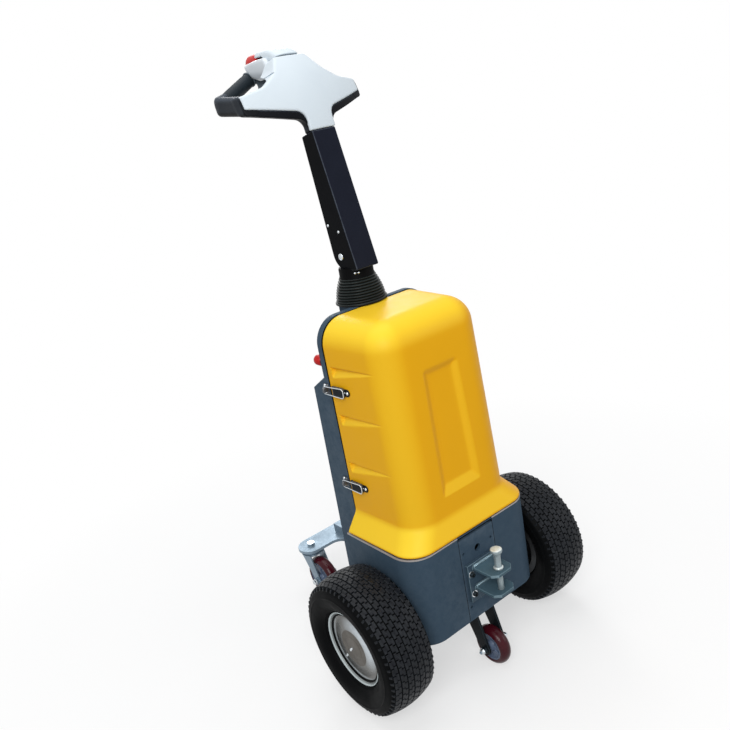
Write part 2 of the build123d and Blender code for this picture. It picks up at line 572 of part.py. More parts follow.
# ==== Drive wheels ===============================================================================
for name, side in SIDES:
    centre = (side * TRACK_HALF, AXLE_Y, TYRE_RADIUS)
    section_plane = wheel_plane(*centre)
    axle_line = Axis(centre, (1, 0, 0))

    with BuildPart() as tyre:
        with BuildSketch(section_plane):
            with BuildLine():
                edge = RIM_WIDTH / 2
                shoulder = (TYRE_WIDTH / 2 - SHOULDER_INSET, TYRE_RADIUS - SHOULDER_DROP)
                wall = (TYRE_WIDTH / 2, (RIM_FLANGE_RADIUS + shoulder[1]) / 2)
                Polyline((-edge, RIM_FLANGE_RADIUS), (-edge, RIM_RADIUS), (edge, RIM_RADIUS),
                         (edge, RIM_FLANGE_RADIUS))
                ThreePointArc((edge, RIM_FLANGE_RADIUS), wall, shoulder)
                ThreePointArc(shoulder, (0, TYRE_RADIUS), (-shoulder[0], shoulder[1]))
                ThreePointArc((-shoulder[0], shoulder[1]), (-wall[0], wall[1]), (-edge, RIM_FLANGE_RADIUS))
            make_face()
        revolve(axis=axle_line)
    save(tyre.part, f"tyre_{name}")

    with BuildPart() as rim:
        with BuildSketch(section_plane):
            # barrel
            with Locations((0, RIM_RADIUS - RIM_WALL / 2)):
                Rectangle(RIM_WIDTH, RIM_WALL)
            # flanges
            for end in (-1, 1):
                with Locations((end * (RIM_WIDTH + RIM_WALL) / 2,
                                (RIM_FLANGE_RADIUS + RIM_RADIUS - RIM_WALL) / 2)):
                    Rectangle(RIM_WALL, RIM_FLANGE_RADIUS - RIM_RADIUS + RIM_WALL)
            # disc
            with Locations((side * (DISC_OFFSET + RIM_WALL / 2), (HUB_RADIUS + RIM_RADIUS - 1) / 2)):
                Rectangle(RIM_WALL, RIM_RADIUS - 1 - HUB_RADIUS)
        revolve(axis=axle_line)
    save(rim.part, f"rim_{name}")

    with BuildPart() as hub:
        disc_face = DISC_OFFSET + RIM_WALL
        stub_end = TRACK_HALF - AXLE_TUBE_END + STUB_LENGTH
        boss_end = TRACK_HALF - AXLE_TUBE_END - WHEEL_GAP
        with BuildSketch(section_plane):
            with BuildLine():
                Polyline(
                    (-side * stub_end, 0),
                    (-side * stub_end, STUB_RADIUS),
                    (-side * boss_end, STUB_RADIUS),
                    (-side * boss_end, HUB_RADIUS - HUB_BOSS_STEP),
                    (side * (DISC_OFFSET - HUB_RIM), HUB_RADIUS - HUB_BOSS_STEP),
                    (side * (DISC_OFFSET - HUB_RIM), HUB_RADIUS),
                    (side * (disc_face + HUB_CAP_STEP), HUB_RADIUS),
                    (side * (disc_face + HUB_CAP_LENGTH), HUB_RADIUS - HUB_CAP_BEVEL),
                    (side * (disc_face + HUB_CAP_LENGTH), 0),
                    close=True,
                )
            make_face()
        revolve(axis=axle_line)
    save(hub.part, f"hub_{name}")

# ==== Cover ======================================================================================
def cover_section(row, inset):
    """Face of the cover at one height, drawn in by inset."""
    height, rear_half, front_half, front, corner = row
    return plan_outline(rear_half - inset, front_half - inset, front - inset, COVER_REAR, corner - inset)


def cover_half(behind_axle, height):
    """Half width of the cover's side between the crease and the crown."""
    low = COVER_CREASE
    high = COVER_CROWN
    share = (height - low[0]) / (high[0] - low[0])
    rear_half = low[1] + share * (high[1] - low[1])
    front_half = low[2] + share * (high[2] - low[2])
    front = low[3] + share * (high[3] - low[3])
    back = (COVER_REAR - behind_axle) / (COVER_REAR + front)
    return rear_half + back * (front_half - rear_half)


def cover_front(height):
    """How far the cover's face is ahead of the axle at a height above the crease."""
    share = (height - COVER_CREASE[0]) / (COVER_CROWN[0] - COVER_CREASE[0])
    return COVER_CREASE[3] + share * (COVER_CROWN[3] - COVER_CREASE[3])


def cover_form(inset):
    """The cover as a filled form, drawn in by inset and as much lower."""
    with BuildPart() as form:
        for low, high in ((COVER_SKIRT, COVER_CREASE), (COVER_CREASE, COVER_CROWN)):
            top = high[0] - (inset if high is COVER_CROWN else 0)
            with BuildSketch(Plane.XY.offset(low[0])):
                add(cover_section(low, inset))
            with BuildSketch(Plane.XY.offset(top)):
                add(cover_section(high, inset))
            loft()
        top_edges = form.faces().sort_by(Axis.Z)[-1].edges().sort_by(Axis.Y)[:-1]
        fillet(top_edges, COVER_EDGE - inset)
    return form.part


def notch(side, height, grow):
    """One side notch: a wedge, deep and tall at the rear, that runs out to nothing at the front."""
    with BuildPart() as wedge:
        for place, share in ((NOTCH_REAR + grow, 1.0), (-NOTCH_FRONT - grow, 0.04)):
            half = cover_half(place, height)
            deep = NOTCH_DEPTH * share + grow
            tall = NOTCH_HEIGHT * share + grow
            slack = 12.0
            with BuildSketch(Plane.XZ.offset(-(AXLE_Y + place))):
                Polygon(
                    (side * (half - deep), height + grow),
                    (side * (half + slack), height + grow),
                    (side * (half + slack), height - tall * (1 + slack / deep)),
                    align=None,
                )
        loft()
    return wedge.part


def recess(grow):
    """The panel pressed into the cover's front, with a sloping sill."""
    lean = (cover_front(RECESS_BOTTOM) - cover_front(RECESS_TOP)) / (RECESS_TOP - RECESS_BOTTOM)
    face = Plane(
        (0, AXLE_Y - cover_front(RECESS_BOTTOM), RECESS_BOTTOM),
        x_dir=(1, 0, 0),
        z_dir=(0, -1, lean),
    )
    tall = RECESS_TOP - RECESS_BOTTOM
    with BuildPart() as pocket:
        for depth, sill in ((-RECESS_OVERCUT, 0.0), (RECESS_DEPTH + grow, RECESS_SILL)):
            with BuildSketch(face.offset(-depth)) as outline:
                Polygon(
                    (-RECESS_BOTTOM_HALF - grow, sill - grow),
                    (RECESS_BOTTOM_HALF + grow, sill - grow),
                    (RECESS_TOP_HALF + grow, tall + grow),
                    (-RECESS_TOP_HALF - grow, tall + grow),
                    align=None,
                )
                fillet(outline.vertices(), RECESS_CORNER)
        loft()
    return pocket.part


with BuildPart() as cavity:
    add(cover_form(COVER_WALL))
    for name, side in SIDES:
        for height in NOTCH_HEIGHTS:
            add(notch(side, height, COVER_WALL), mode=Mode.SUBTRACT)
    add(recess(COVER_WALL), mode=Mode.SUBTRACT)

with BuildPart() as cover:
    add(cover_form(0.0))
    for name, side in SIDES:
        for height in NOTCH_HEIGHTS:
            add(notch(side, height, 0.0), mode=Mode.SUBTRACT)
    add(recess(0.0), mode=Mode.SUBTRACT)
    add(cavity.part, mode=Mode.SUBTRACT)
save(cover.part, "cover")


# A strip of seal fills the joint between the cover's rear edge and the panel and column.
with BuildPart() as cover_seal:
    with BuildSketch(back_plane(COVER_REAR)):
        add(arch_outline(COLUMN_HALF, SEAL_FOOT, COVER_TOP, COVER_EDGE))
        add(arch_outline(COLUMN_HALF - SEAL_DEPTH, SEAL_FOOT, COVER_TOP - SEAL_DEPTH,
                         COVER_EDGE - SEAL_DEPTH), mode=Mode.SUBTRACT)
    extrude(amount=-SEAL_THICKNESS)
save(cover_seal.part, "cover_seal")

# ==== Column and back panel ======================================================================
column_side = [behind(p) for p in (
    (COLUMN_FRONT, FLOOR_TOP),
    (COLUMN_FOOT_REAR, FLOOR_TOP),
    (COLUMN_HEAD_REAR, COLUMN_SHOULDER),
    (PANEL_REAR, PANEL_BOTTOM),
    (COLUMN_FRONT, PANEL_BOTTOM),
)]
with BuildPart() as column:
    with BuildSketch(side_plane(0)):
        Polygon(*column_side, align=None)
    extrude(amount=COLUMN_HALF, both=True)
    with BuildSketch(side_plane(0)):
        Polygon(*column_side, align=None)
        offset(amount=-SHEET, kind=Kind.INTERSECTION, mode=Mode.REPLACE)
        # open at the front, into the cover
        with Locations((AXLE_Y + COLUMN_FRONT + SHEET / 2, (FLOOR_TOP + PANEL_BOTTOM) / 2)):
            Rectangle(2 * SHEET, PANEL_BOTTOM - FLOOR_TOP - 2 * SHEET)
    extrude(amount=COLUMN_HALF - SHEET, both=True, mode=Mode.SUBTRACT)
    # slot for the tongue and its beam
    with BuildSketch(back_plane(COLUMN_FRONT)):
        with Locations((0, FLOOR_TOP + (BAR_THICKNESS + BEAM_HEIGHT) / 2)):
            Rectangle(2 * TONGUE_HALF, BAR_THICKNESS + BEAM_HEIGHT)
    extrude(amount=-2 * (COLUMN_FOOT_REAR - COLUMN_FRONT), mode=Mode.SUBTRACT)
save(column.part, "column")

with BuildPart() as back_panel:
    with BuildSketch(back_plane(COLUMN_FRONT)):
        add(arch_outline(COLUMN_HALF, PANEL_BOTTOM, PANEL_TOP, COVER_EDGE))
    extrude(amount=COLUMN_FRONT - PANEL_REAR)
    with BuildSketch(back_plane(COLUMN_FRONT)):
        add(arch_outline(COLUMN_HALF - SHEET, PANEL_BOTTOM + SHEET, PANEL_TOP - SHEET, COVER_EDGE - SHEET))
    extrude(amount=COLUMN_FRONT - PANEL_REAR + SHEET, mode=Mode.SUBTRACT)
save(back_panel.part, "back_panel")

# ---- Controls on the back panel -----------------------------------------------------------------
with BuildPart() as stop_base:
    with BuildSketch(back_plane(PANEL_REAR)):
        with Locations(STOP_PLACE):
            Circle(STOP_STEM_RADIUS)
    extrude(amount=-STOP_STEM)
save(stop_base.part, "stop_base")

with BuildPart() as stop_button:
    with BuildSketch(back_plane(PANEL_REAR + STOP_STEM)):
        with Locations(STOP_PLACE):
            Circle(STOP_RADIUS)
    extrude(amount=-STOP_HEAD)
    fillet(stop_button.edges().sort_by(Axis.Y)[-1], STOP_HEAD / 3)
save(stop_button.part, "stop_button")

with BuildPart() as key_switch:
    with BuildSketch(back_plane(PANEL_REAR)):
        with Locations(KEY_PLACE):
            Circle(KEY_RADIUS)
    extrude(amount=-KEY_COLLAR)
    with BuildSketch(back_plane(PANEL_REAR + KEY_COLLAR)):
        with Locations(KEY_PLACE):
            Rectangle(KEY_THICKNESS, KEY_RADIUS)
    extrude(amount=-KEY_BOW)
save(key_switch.part, "key_switch")

with BuildPart() as charge_gauge:
    with BuildSketch(back_plane(PANEL_REAR)):
        with Locations(GAUGE_PLACE):
            Circle(GAUGE_RADIUS)
    extrude(amount=-GAUGE_DEPTH)
    chamfer(charge_gauge.edges().sort_by(Axis.Y)[-1], GAUGE_BEVEL)
save(charge_gauge.part, "charge_gauge")

# ==== Draw latches ===============================================================================
def latch_plane(side, height):
    """Plane just off the cover's side at a latch: local x runs to the rear, local y is up."""
    front = Vector(cover_half(LATCH_FRONT, height) + SEAT_GAP, AXLE_Y + LATCH_FRONT, height)
    rear = Vector(cover_half(COVER_REAR, height) + SEAT_GAP, AXLE_Y + COVER_REAR, height)
    along = (rear - front).normalized()
    out = along.cross(Vector(0, 0, 1))
    if side < 0:
        front = Vector(-front.X, front.Y, front.Z)
        along = Vector(-along.X, along.Y, along.Z)
        out = Vector(-out.X, out.Y, out.Z)
    return Plane(front, x_dir=along, z_dir=out)


with BuildPart() as latch_bases:
    for name, side in SIDES:
        for height in LATCH_HEIGHTS:
            with BuildSketch(latch_plane(side, height)):
                with Locations((LATCH_LENGTH / 2, 0)):
                    SlotOverall(LATCH_LENGTH, LATCH_WIDTH)
            extrude(amount=LATCH_THICKNESS)
save(latch_bases.part, "latch_bases")

with BuildPart() as latch_levers:
    for name, side in SIDES:
        for height in LATCH_HEIGHTS:
            with BuildSketch(latch_plane(side, height).offset(LATCH_THICKNESS)):
                with Locations((LATCH_LENGTH - LEVER_LENGTH / 2 - LATCH_WIDTH / 4, 0)):
                    RectangleRounded(LEVER_LENGTH, LEVER_WIDTH, LEVER_WIDTH / 3)
            extrude(amount=LEVER_THICKNESS)
save(latch_levers.part, "latch_levers")

with BuildPart() as latch_bails:
    bail_start = LATCH_LENGTH - LEVER_LENGTH - LATCH_WIDTH / 4 + BAIL_WIRE
    bail_end = CATCH_Y - LATCH_FRONT
    for name, side in SIDES:
        for height in LATCH_HEIGHTS:
            with BuildSketch(latch_plane(side, height).offset(LATCH_THICKNESS + LEVER_THICKNESS)):
                with Locations(((bail_start + bail_end) / 2, 0)):
                    RectangleRounded(bail_end - bail_start, LEVER_WIDTH, LEVER_WIDTH / 3)
                    RectangleRounded(bail_end - bail_start - 2 * BAIL_WIRE, LEVER_WIDTH - 2 * BAIL_WIRE,
                                     LEVER_WIDTH / 3 - BAIL_WIRE / 2, mode=Mode.SUBTRACT)
            extrude(amount=BAIL_WIRE)
save(latch_bails.part, "latch_bails")

with BuildPart() as latch_catches:
    for name, side in SIDES:
        for height in LATCH_HEIGHTS:
            # a foot on the column's flange, and the peg that the bail lies around
            bail_top = SEAT_GAP + LATCH_THICKNESS + LEVER_THICKNESS + BAIL_WIRE
            peg_end = cover_half(CATCH_Y, height) + bail_top + BAIL_WIRE
            peg_rear = AXLE_Y + CATCH_Y - BAIL_WIRE - CATCH_SLACK
            foot_rear = AXLE_Y + CATCH_Y + CATCH_FOOT
            with BuildSketch(Plane.XY.offset(height - CATCH_HEIGHT / 2)):
                Polygon(
                    (side * COLUMN_HALF, peg_rear - CATCH_PEG),
                    (side * peg_end, peg_rear - CATCH_PEG),
                    (side * peg_end, peg_rear),
                    (side * (COLUMN_HALF + LATCH_THICKNESS), peg_rear),
                    (side * (COLUMN_HALF + LATCH_THICKNESS), foot_rear),
                    (side * COLUMN_HALF, foot_rear),
                    align=None,
                )
            extrude(amount=CATCH_HEIGHT)
save(latch_catches.part, "latch_catches")

# ==== Tiller mounting ============================================================================
with BuildPart() as pedestal:
    pedestal_side = [behind(p) for p in (
        (PANEL_REAR, PANEL_BOTTOM),
        (PANEL_REAR, FLANGE_Z),
        (PEDESTAL_REAR, FLANGE_Z),
        (PEDESTAL_REAR, PEDESTAL_KNEE),
        (COLUMN_HEAD_REAR, COLUMN_SHOULDER),
    )]
    with BuildSketch(side_plane(0)):
        Polygon(*pedestal_side, align=None)
    extrude(amount=PEDESTAL_HALF, both=True)
    with BuildSketch(side_plane(0)):
        Polygon(*pedestal_side, align=None)
        offset(amount=-PEDESTAL_WALL, kind=Kind.INTERSECTION, mode=Mode.REPLACE)
    extrude(amount=PEDESTAL_HALF - PEDESTAL_WALL, both=True, mode=Mode.SUBTRACT)
    with BuildSketch(Plane.XY.offset(FLANGE_Z)):
        with Locations((0, PIVOT_Y)):
            Circle(FLANGE_RADIUS)
    extrude(amount=FLANGE_THICKNESS)
    # two ears carry the pivot
    with BuildSketch(side_plane(0)):
        with Locations((PIVOT_Y, PIVOT_Z)):
            Circle(EAR_RADIUS)
        with Locations((PIVOT_Y, (FLANGE_TOP + PIVOT_Z) / 2)):
            Rectangle(2 * EAR_RADIUS, PIVOT_RISE)
    extrude(amount=POST_HALF + EAR_GAP + EAR_THICKNESS, both=True)
    with BuildSketch(side_plane(0)):
        with Locations((PIVOT_Y, (FLANGE_TOP + PIVOT_Z + EAR_RADIUS) / 2)):
            Rectangle(3 * EAR_RADIUS, PIVOT_RISE + EAR_RADIUS)
    extrude(amount=POST_HALF + EAR_GAP, both=True, mode=Mode.SUBTRACT)
    with BuildSketch(side_plane(0)):
        with Locations((PIVOT_Y, PIVOT_Z)):
            Circle(PIVOT_RADIUS)
    extrude(amount=POST_HALF + 2 * EAR_THICKNESS, both=True, mode=Mode.SUBTRACT)
save(pedestal.part, "tiller_pedestal")

with BuildPart() as pivot_pin:
    with BuildSketch(side_plane(0)):
        with Locations((PIVOT_Y, PIVOT_Z)):
            Circle(PIVOT_RADIUS)
    extrude(amount=POST_HALF + EAR_GAP + EAR_THICKNESS, both=True)
save(pivot_pin.part, "pivot_pin")

with BuildPart() as bellows:
    with BuildSketch(wheel_plane(0, PIVOT_Y, 0)):
        Polygon(
            (BELLOWS_BASE_RADIUS, FLANGE_TOP),
            (BELLOWS_TOP_RADIUS, FLANGE_TOP + BELLOWS_HEIGHT),
            (BELLOWS_TOP_RADIUS - BELLOWS_WALL, FLANGE_TOP + BELLOWS_HEIGHT),
            (BELLOWS_BASE_RADIUS - BELLOWS_WALL, FLANGE_TOP),
            align=None,
        )
    revolve(axis=Axis((0, PIVOT_Y, 0), (0, 0, 1)))
save(bellows.part, "bellows")

# ==== Tiller arm =================================================================================
with BuildPart() as post:
    with BuildSketch(side_plane(0)):
        with Locations((PIVOT_Y, PIVOT_Z)):
            Circle(POST_DEPTH / 2)
        with Locations((PIVOT_Y, PIVOT_Z + POST_RISE / 2)):
            Rectangle(POST_DEPTH, POST_RISE)
        with Locations((PIVOT_Y, PIVOT_Z)):
            Circle(PIVOT_RADIUS + RUNNING_FIT, mode=Mode.SUBTRACT)
    extrude(amount=POST_HALF, both=True)
save(post.part, "tiller_post")

with BuildSketch() as arm_side:
    Polygon(
        *[from_pivot(p) for p in (ARM_FRONT_BOTTOM, ARM_FRONT_TOP, ARM_REAR_TOP, ARM_REAR_BOTTOM)],
        align=None,
    )
    fillet(arm_side.vertices().sort_by(Axis.Y)[0], ARM_ROUND)

with BuildPart() as arm:
    with BuildSketch(side_plane(0)):
        add(arm_side.sketch_local)
    extrude(amount=ARM_HALF, both=True)
    with BuildSketch(side_plane(0)):
        add(arm_side.sketch_local)
        offset(amount=-ARM_WALL, kind=Kind.INTERSECTION, mode=Mode.REPLACE)
    extrude(amount=ARM_HALF - ARM_WALL, both=True, mode=Mode.SUBTRACT)
    # the post comes up through the arm's foot
    with BuildSketch(side_plane(0)):
        with Locations(from_pivot((0, ARM_FRONT_BOTTOM[1]))):
            Rectangle(POST_DEPTH, 2 * ARM_ROUND)
    extrude(amount=POST_HALF, both=True, mode=Mode.SUBTRACT)
save(arm.part, "tiller_arm")

# ==== Tiller head ================================================================================
# The neck ends on the arm's top face.
neck_plane = Plane(
    (0, ARM_TOP_Y, ARM_TOP_Z),
    x_dir=(1, 0, 0),
    z_dir=(0, ARM_FRONT_TOP[1] - ARM_REAR_TOP[1], ARM_REAR_TOP[0] - ARM_FRONT_TOP[0]),
)
grip_run = (Vector(*GRIP_OUTER) - Vector(*GRIP_INNER)).normalized()


def grip_plane(side, shift):
    """Plane across a grip, shifted outward along its axis from the grip's inner end."""
    start = Vector(*GRIP_INNER) + grip_run * shift
    return Plane((side * start.X, start.Y, start.Z), z_dir=(side * grip_run.X, grip_run.Y, grip_run.Z))


def head_plane(distance):
    """Upright plane across the head, at a distance behind the arm's front top edge."""
    return Plane((0, ARM_TOP_Y + distance, ARM_TOP_Z), x_dir=(1, 0, 0), z_dir=(0, -1, 0))


def face_band(back, near, far):
    """Side view of a slice of the head, between two depths behind its curved face set back."""
    front = [(ARM_TOP_Y + back + near + y, ARM_TOP_Z + z) for y, z in FACE_POINTS]
    rear = [(y + far - near, z) for y, z in front]
    with BuildSketch(Plane.XY) as band:
        with BuildLine():
            ThreePointArc(*front)
            Line(front[-1], rear[-1])
            ThreePointArc(*reversed(rear))
            Line(rear[0], front[0])
        make_face()
    return band.sketch_local


def face_slab(near, far):
    """The head between two depths behind its face, which is swept back towards the wing ends."""
    with BuildPart() as slab:
        for name, side in SIDES:
            for share, back in FACE_SECTIONS:
                with BuildSketch(side_plane(side * share * SHIELD_WING_HALF)):
                    add(face_band(back * FACE_SWEEP, near, far))
            loft()
    return slab.part


def shield_outline(drop):
    """Front view of the head: a neck that spreads into two wings, their lower edges dropped."""
    with BuildSketch(Plane.XY) as outline:
        Polygon(
            (0, NECK_FOOT),
            (NECK_HALF, NECK_FOOT),
            (NECK_HALF, WING_ROOT - drop),
            (SHIELD_WING_HALF, WING_LOW - drop),
            (SHIELD_WING_HALF, WING_HIGH),
            WING_ELBOW,
            WING_HAUNCH,
            (HUB_BLOCK_HALF, SHIELD_TOP),
            (0, SHIELD_TOP),
            align=None,
        )
        on_bends = (WING_ROOT - drop, WING_ELBOW[1], WING_HAUNCH[1])
        fillet([v for v in outline.vertices() if v.Y in on_bends], NECK_FILLET)
        mirror(about=Plane.YZ)
    return outline.sketch_local


def shield(near, far, drop):
    """The part of the head's outline between two depths behind its face, down to the arm's end."""
    with BuildPart() as plate:
        add(face_slab(near, far))
        with BuildSketch(head_plane(HUB_REAR)):
            add(shield_outline(drop))
        extrude(amount=2 * HUB_REAR, mode=Mode.INTERSECT)
        split(bisect_by=neck_plane, keep=Keep.TOP)
    return plate.part


with BuildPart() as hub_block:
    # the hub's top slopes up to the rear
    for place, top in ((HUB_FRONT, HUB_FRONT_TOP), (HUB_REAR, HUB_TOP)):
        with BuildSketch(head_plane(place)):
            with Locations((0, (top + HUB_BOTTOM) / 2)):
                RectangleRounded(2 * HUB_BLOCK_HALF, top - HUB_BOTTOM, HUB_ROUND)
    loft()

hub_seam = Plane.XY.offset(ARM_TOP_Z + HUB_MIDDLE)

with BuildPart() as hub_cap:
    # upper half of the hub, behind the shield's front face
    add(hub_block.part)
    split(bisect_by=hub_seam, keep=Keep.TOP)
    add(face_slab(0, 2 * HUB_REAR), mode=Mode.INTERSECT)

with BuildPart() as head_shell:
    add(shield(0, SHIELD_THICKNESS, 0))
    add(hub_cap.part)
save(head_shell.part, "head_shell")

with BuildPart() as head_underside:
    add(shield(SHIELD_THICKNESS, SHIELD_THICKNESS + BACKING_THICKNESS, BACKING_DROP))
    # side arms run back from the wings to the grips
    for name, side in SIDES:
        arm_middle = SIDE_ARM_OUTER - SIDE_ARM_WIDTH / 2
        for place, height in ((SIDE_ARM_FRONT, SIDE_ARM_FRONT_Z), (SIDE_ARM_REAR, SIDE_ARM_REAR_Z)):
            with BuildSketch(head_plane(place)):
                with Locations((side * arm_middle, height)):
                    RectangleRounded(SIDE_ARM_WIDTH, SIDE_ARM_HEIGHT, SIDE_ARM_ROUND)
        loft()
    with BuildSketch(Plane.XY.offset(ARM_TOP_Z - HUB_REAR)) as handle_plan:
        Polygon(
            (-SIDE_ARM_OUTER, ARM_TOP_Y - HUB_REAR),
            (SIDE_ARM_OUTER, ARM_TOP_Y - HUB_REAR),
            (SIDE_ARM_OUTER, ARM_TOP_Y + SIDE_ARM_REAR),
            (-SIDE_ARM_OUTER, ARM_TOP_Y + SIDE_ARM_REAR),
            align=None,
        )
        fillet(handle_plan.vertices().sort_by(Axis.Y)[-2:], SIDE_ARM_CORNER)
    extrude(amount=2 * HUB_REAR, mode=Mode.INTERSECT)
    add(head_shell.part, mode=Mode.SUBTRACT)
    add(hub_block.part, mode=Mode.SUBTRACT)
save(head_underside.part, "head_underside")

with BuildPart() as head_hub:
    add(hub_block.part)
    split(bisect_by=hub_seam, keep=Keep.BOTTOM)
    # stubs that the grips slide onto
    for name, side in SIDES:
        with BuildSketch(grip_plane(side, -(GRIP_INNER[0] - HUB_BLOCK_HALF / 2))):
            Circle(GRIP_RADIUS + COLLAR_STEP)
        extrude(amount=GRIP_INNER[0] - HUB_BLOCK_HALF / 2)
    add(face_slab(SHIELD_THICKNESS, 3 * HUB_REAR), mode=Mode.INTERSECT)
    add(head_shell.part, mode=Mode.SUBTRACT)
save(head_hub.part, "head_hub")

for name, side in SIDES:
    with BuildPart() as grip:
        with BuildSketch(grip_plane(side, 0)):
            Circle(GRIP_RADIUS)
        extrude(amount=GRIP_OUTER[0] - GRIP_INNER[0])
        add(head_underside.part, mode=Mode.SUBTRACT)
    save(grip.part, f"grip_{name}")

with BuildPart() as thumb_paddles:
    for name, side in SIDES:
        with BuildSketch(side_plane(side * HUB_BLOCK_HALF)):
            with Locations((ARM_TOP_Y + PADDLE_Y, ARM_TOP_Z + PADDLE_Z)):
                Ellipse(PADDLE_LENGTH / 2, PADDLE_HEIGHT / 2)
        extrude(amount=side * PADDLE_THICKNESS)
    add(head_hub.part, mode=Mode.SUBTRACT)
    add(head_shell.part, mode=Mode.SUBTRACT)
save(thumb_paddles.part, "thumb_paddles")

with BuildPart() as belly_button:
    with BuildSketch(head_plane(HUB_REAR)):
        button_half = HUB_BLOCK_HALF - BUTTON_INSET
        with Locations((0, BUTTON_Z)):
            RectangleRounded(2 * button_half, 2 * BUTTON_HALF_HEIGHT, BUTTON_HALF_HEIGHT - BUTTON_EDGE)
    extrude(amount=-BUTTON_LENGTH)
    fillet(belly_button.edges().group_by(Axis.Y)[-1], BUTTON_LENGTH / 2)
    add(head_hub.part, mode=Mode.SUBTRACT)
save(belly_button.part, "belly_button")

# ==== Small wheels ===============================================================================

def wheel_section(width, inner, outer, corner):
    """Half section of a small wheel's ring, about its own centre."""
    with BuildSketch(Plane.XY) as section:
        with Locations((0, (inner + outer) / 2)):
            Rectangle(width, outer - inner)
        if corner:
            fillet(section.vertices().group_by(Axis.Y)[-1], corner)
    return section.sketch_local


def small_wheel(name, centre, radius, width):
    """A cast core on a bored boss, and the tread moulded round it."""
    axis = Axis(centre, (1, 0, 0))
    with BuildPart() as core:
        with BuildSketch(wheel_plane(*centre)):
            add(wheel_section(width - 2 * CORE_STEP, WEB_RADIUS, radius - TREAD_THICKNESS, 0))
            add(wheel_section(CORE_WEB, BOSS_RADIUS - 1, WEB_RADIUS + 1, 0))
            add(wheel_section(width + 2 * BOSS_STEP, WHEEL_BOLT_RADIUS + RUNNING_FIT, BOSS_RADIUS, 0))
        revolve(axis=axis)
    save(core.part, f"{name}_core")
    with BuildPart() as ring:
        with BuildSketch(wheel_plane(*centre)):
            add(wheel_section(width, radius - TREAD_THICKNESS, radius, TREAD_ROUND))
        revolve(axis=axis)
    save(ring.part, f"{name}_tread")


# ==== Front support wheel ========================================================================
small_wheel("front_wheel", FRONT_AXLE, FRONT_WHEEL_RADIUS, FRONT_WHEEL_WIDTH)

with BuildPart() as front_fork:
    fork_outer = FRONT_FORK_INNER + FRONT_FORK_THICKNESS
    arm_root_front = FRONT_Y + FRONT_PLATE_THICKNESS
    arm_root_rear = arm_root_front + FRONT_ARM_ROOT
    with BuildSketch(Plane.XY.offset(CHASSIS_BOTTOM)):
        with Locations((0, (arm_root_front + arm_root_rear) / 2)):
            Rectangle(2 * fork_outer, FRONT_ARM_ROOT)
    extrude(amount=-FRONT_FORK_PLATE)
    with BuildSketch(side_plane(0)):
        Polygon(
            (arm_root_rear, CHASSIS_BOTTOM),
            (arm_root_front, CHASSIS_BOTTOM),
            (FRONT_AXLE[1] - FRONT_ARM_END, FRONT_AXLE[2]),
            (FRONT_AXLE[1] + FRONT_ARM_END, FRONT_AXLE[2]),
            align=None,
        )
        with Locations((FRONT_AXLE[1], FRONT_AXLE[2])):
            Circle(FRONT_ARM_END)
    extrude(amount=fork_outer, both=True)
    # room for the wheel between the arms
    with BuildSketch(side_plane(0)):
        with Locations((arm_root_front, (CHASSIS_BOTTOM - FRONT_FORK_PLATE) / 2)):
            Rectangle(3 * FRONT_ARM_ROOT, CHASSIS_BOTTOM - FRONT_FORK_PLATE)
    extrude(amount=FRONT_FORK_INNER, both=True, mode=Mode.SUBTRACT)
    with BuildSketch(side_plane(0)):
        with Locations((FRONT_AXLE[1], FRONT_AXLE[2])):
            Circle(WHEEL_BOLT_RADIUS)
    extrude(amount=fork_outer, both=True)
    for name, side in SIDES:
        with BuildSketch(side_plane(side * fork_outer)):
            with Locations((FRONT_AXLE[1], FRONT_AXLE[2])):
                RegularPolygon(BOLT_HEAD_RADIUS, 6)
        extrude(amount=side * BOLT_HEAD_HEIGHT)
save(front_fork.part, "front_fork")

# ==== Rear bar and casters =======================================================================
with BuildPart() as rear_frame:
    with BuildSketch(Plane.XY.offset(BAR_BOTTOM)) as tee:
        with Locations((0, AXLE_Y + BAR_Y)):
            SlotOverall(2 * CASTER_X + BAR_DEPTH, BAR_DEPTH)
        with Locations((0, AXLE_Y + (TONGUE_FRONT + BAR_Y) / 2)):
            Rectangle(2 * TONGUE_HALF, BAR_Y - TONGUE_FRONT)
        bar_front = AXLE_Y + BAR_Y - BAR_DEPTH / 2
        on_front = tee.vertices().filter_by(lambda v: abs(v.Y - bar_front) < 0.1)
        inner_corners = on_front.filter_by(lambda v: abs(v.X) < CASTER_X - 1)
        fillet(inner_corners, TONGUE_FILLET)
        with Locations((-CASTER_X, AXLE_Y + BAR_Y), (CASTER_X, AXLE_Y + BAR_Y)):
            Circle(KINGPIN_RADIUS, mode=Mode.SUBTRACT)
    extrude(amount=BAR_THICKNESS)
    with BuildSketch(Plane.XY.offset(BAR_BOTTOM + BAR_THICKNESS)):
        with Locations((0, AXLE_Y + (TONGUE_FRONT + BAR_Y) / 2)):
            Rectangle(2 * BEAM_HALF, BAR_Y - TONGUE_FRONT)
    extrude(amount=BEAM_HEIGHT)
save(rear_frame.part, "rear_frame")

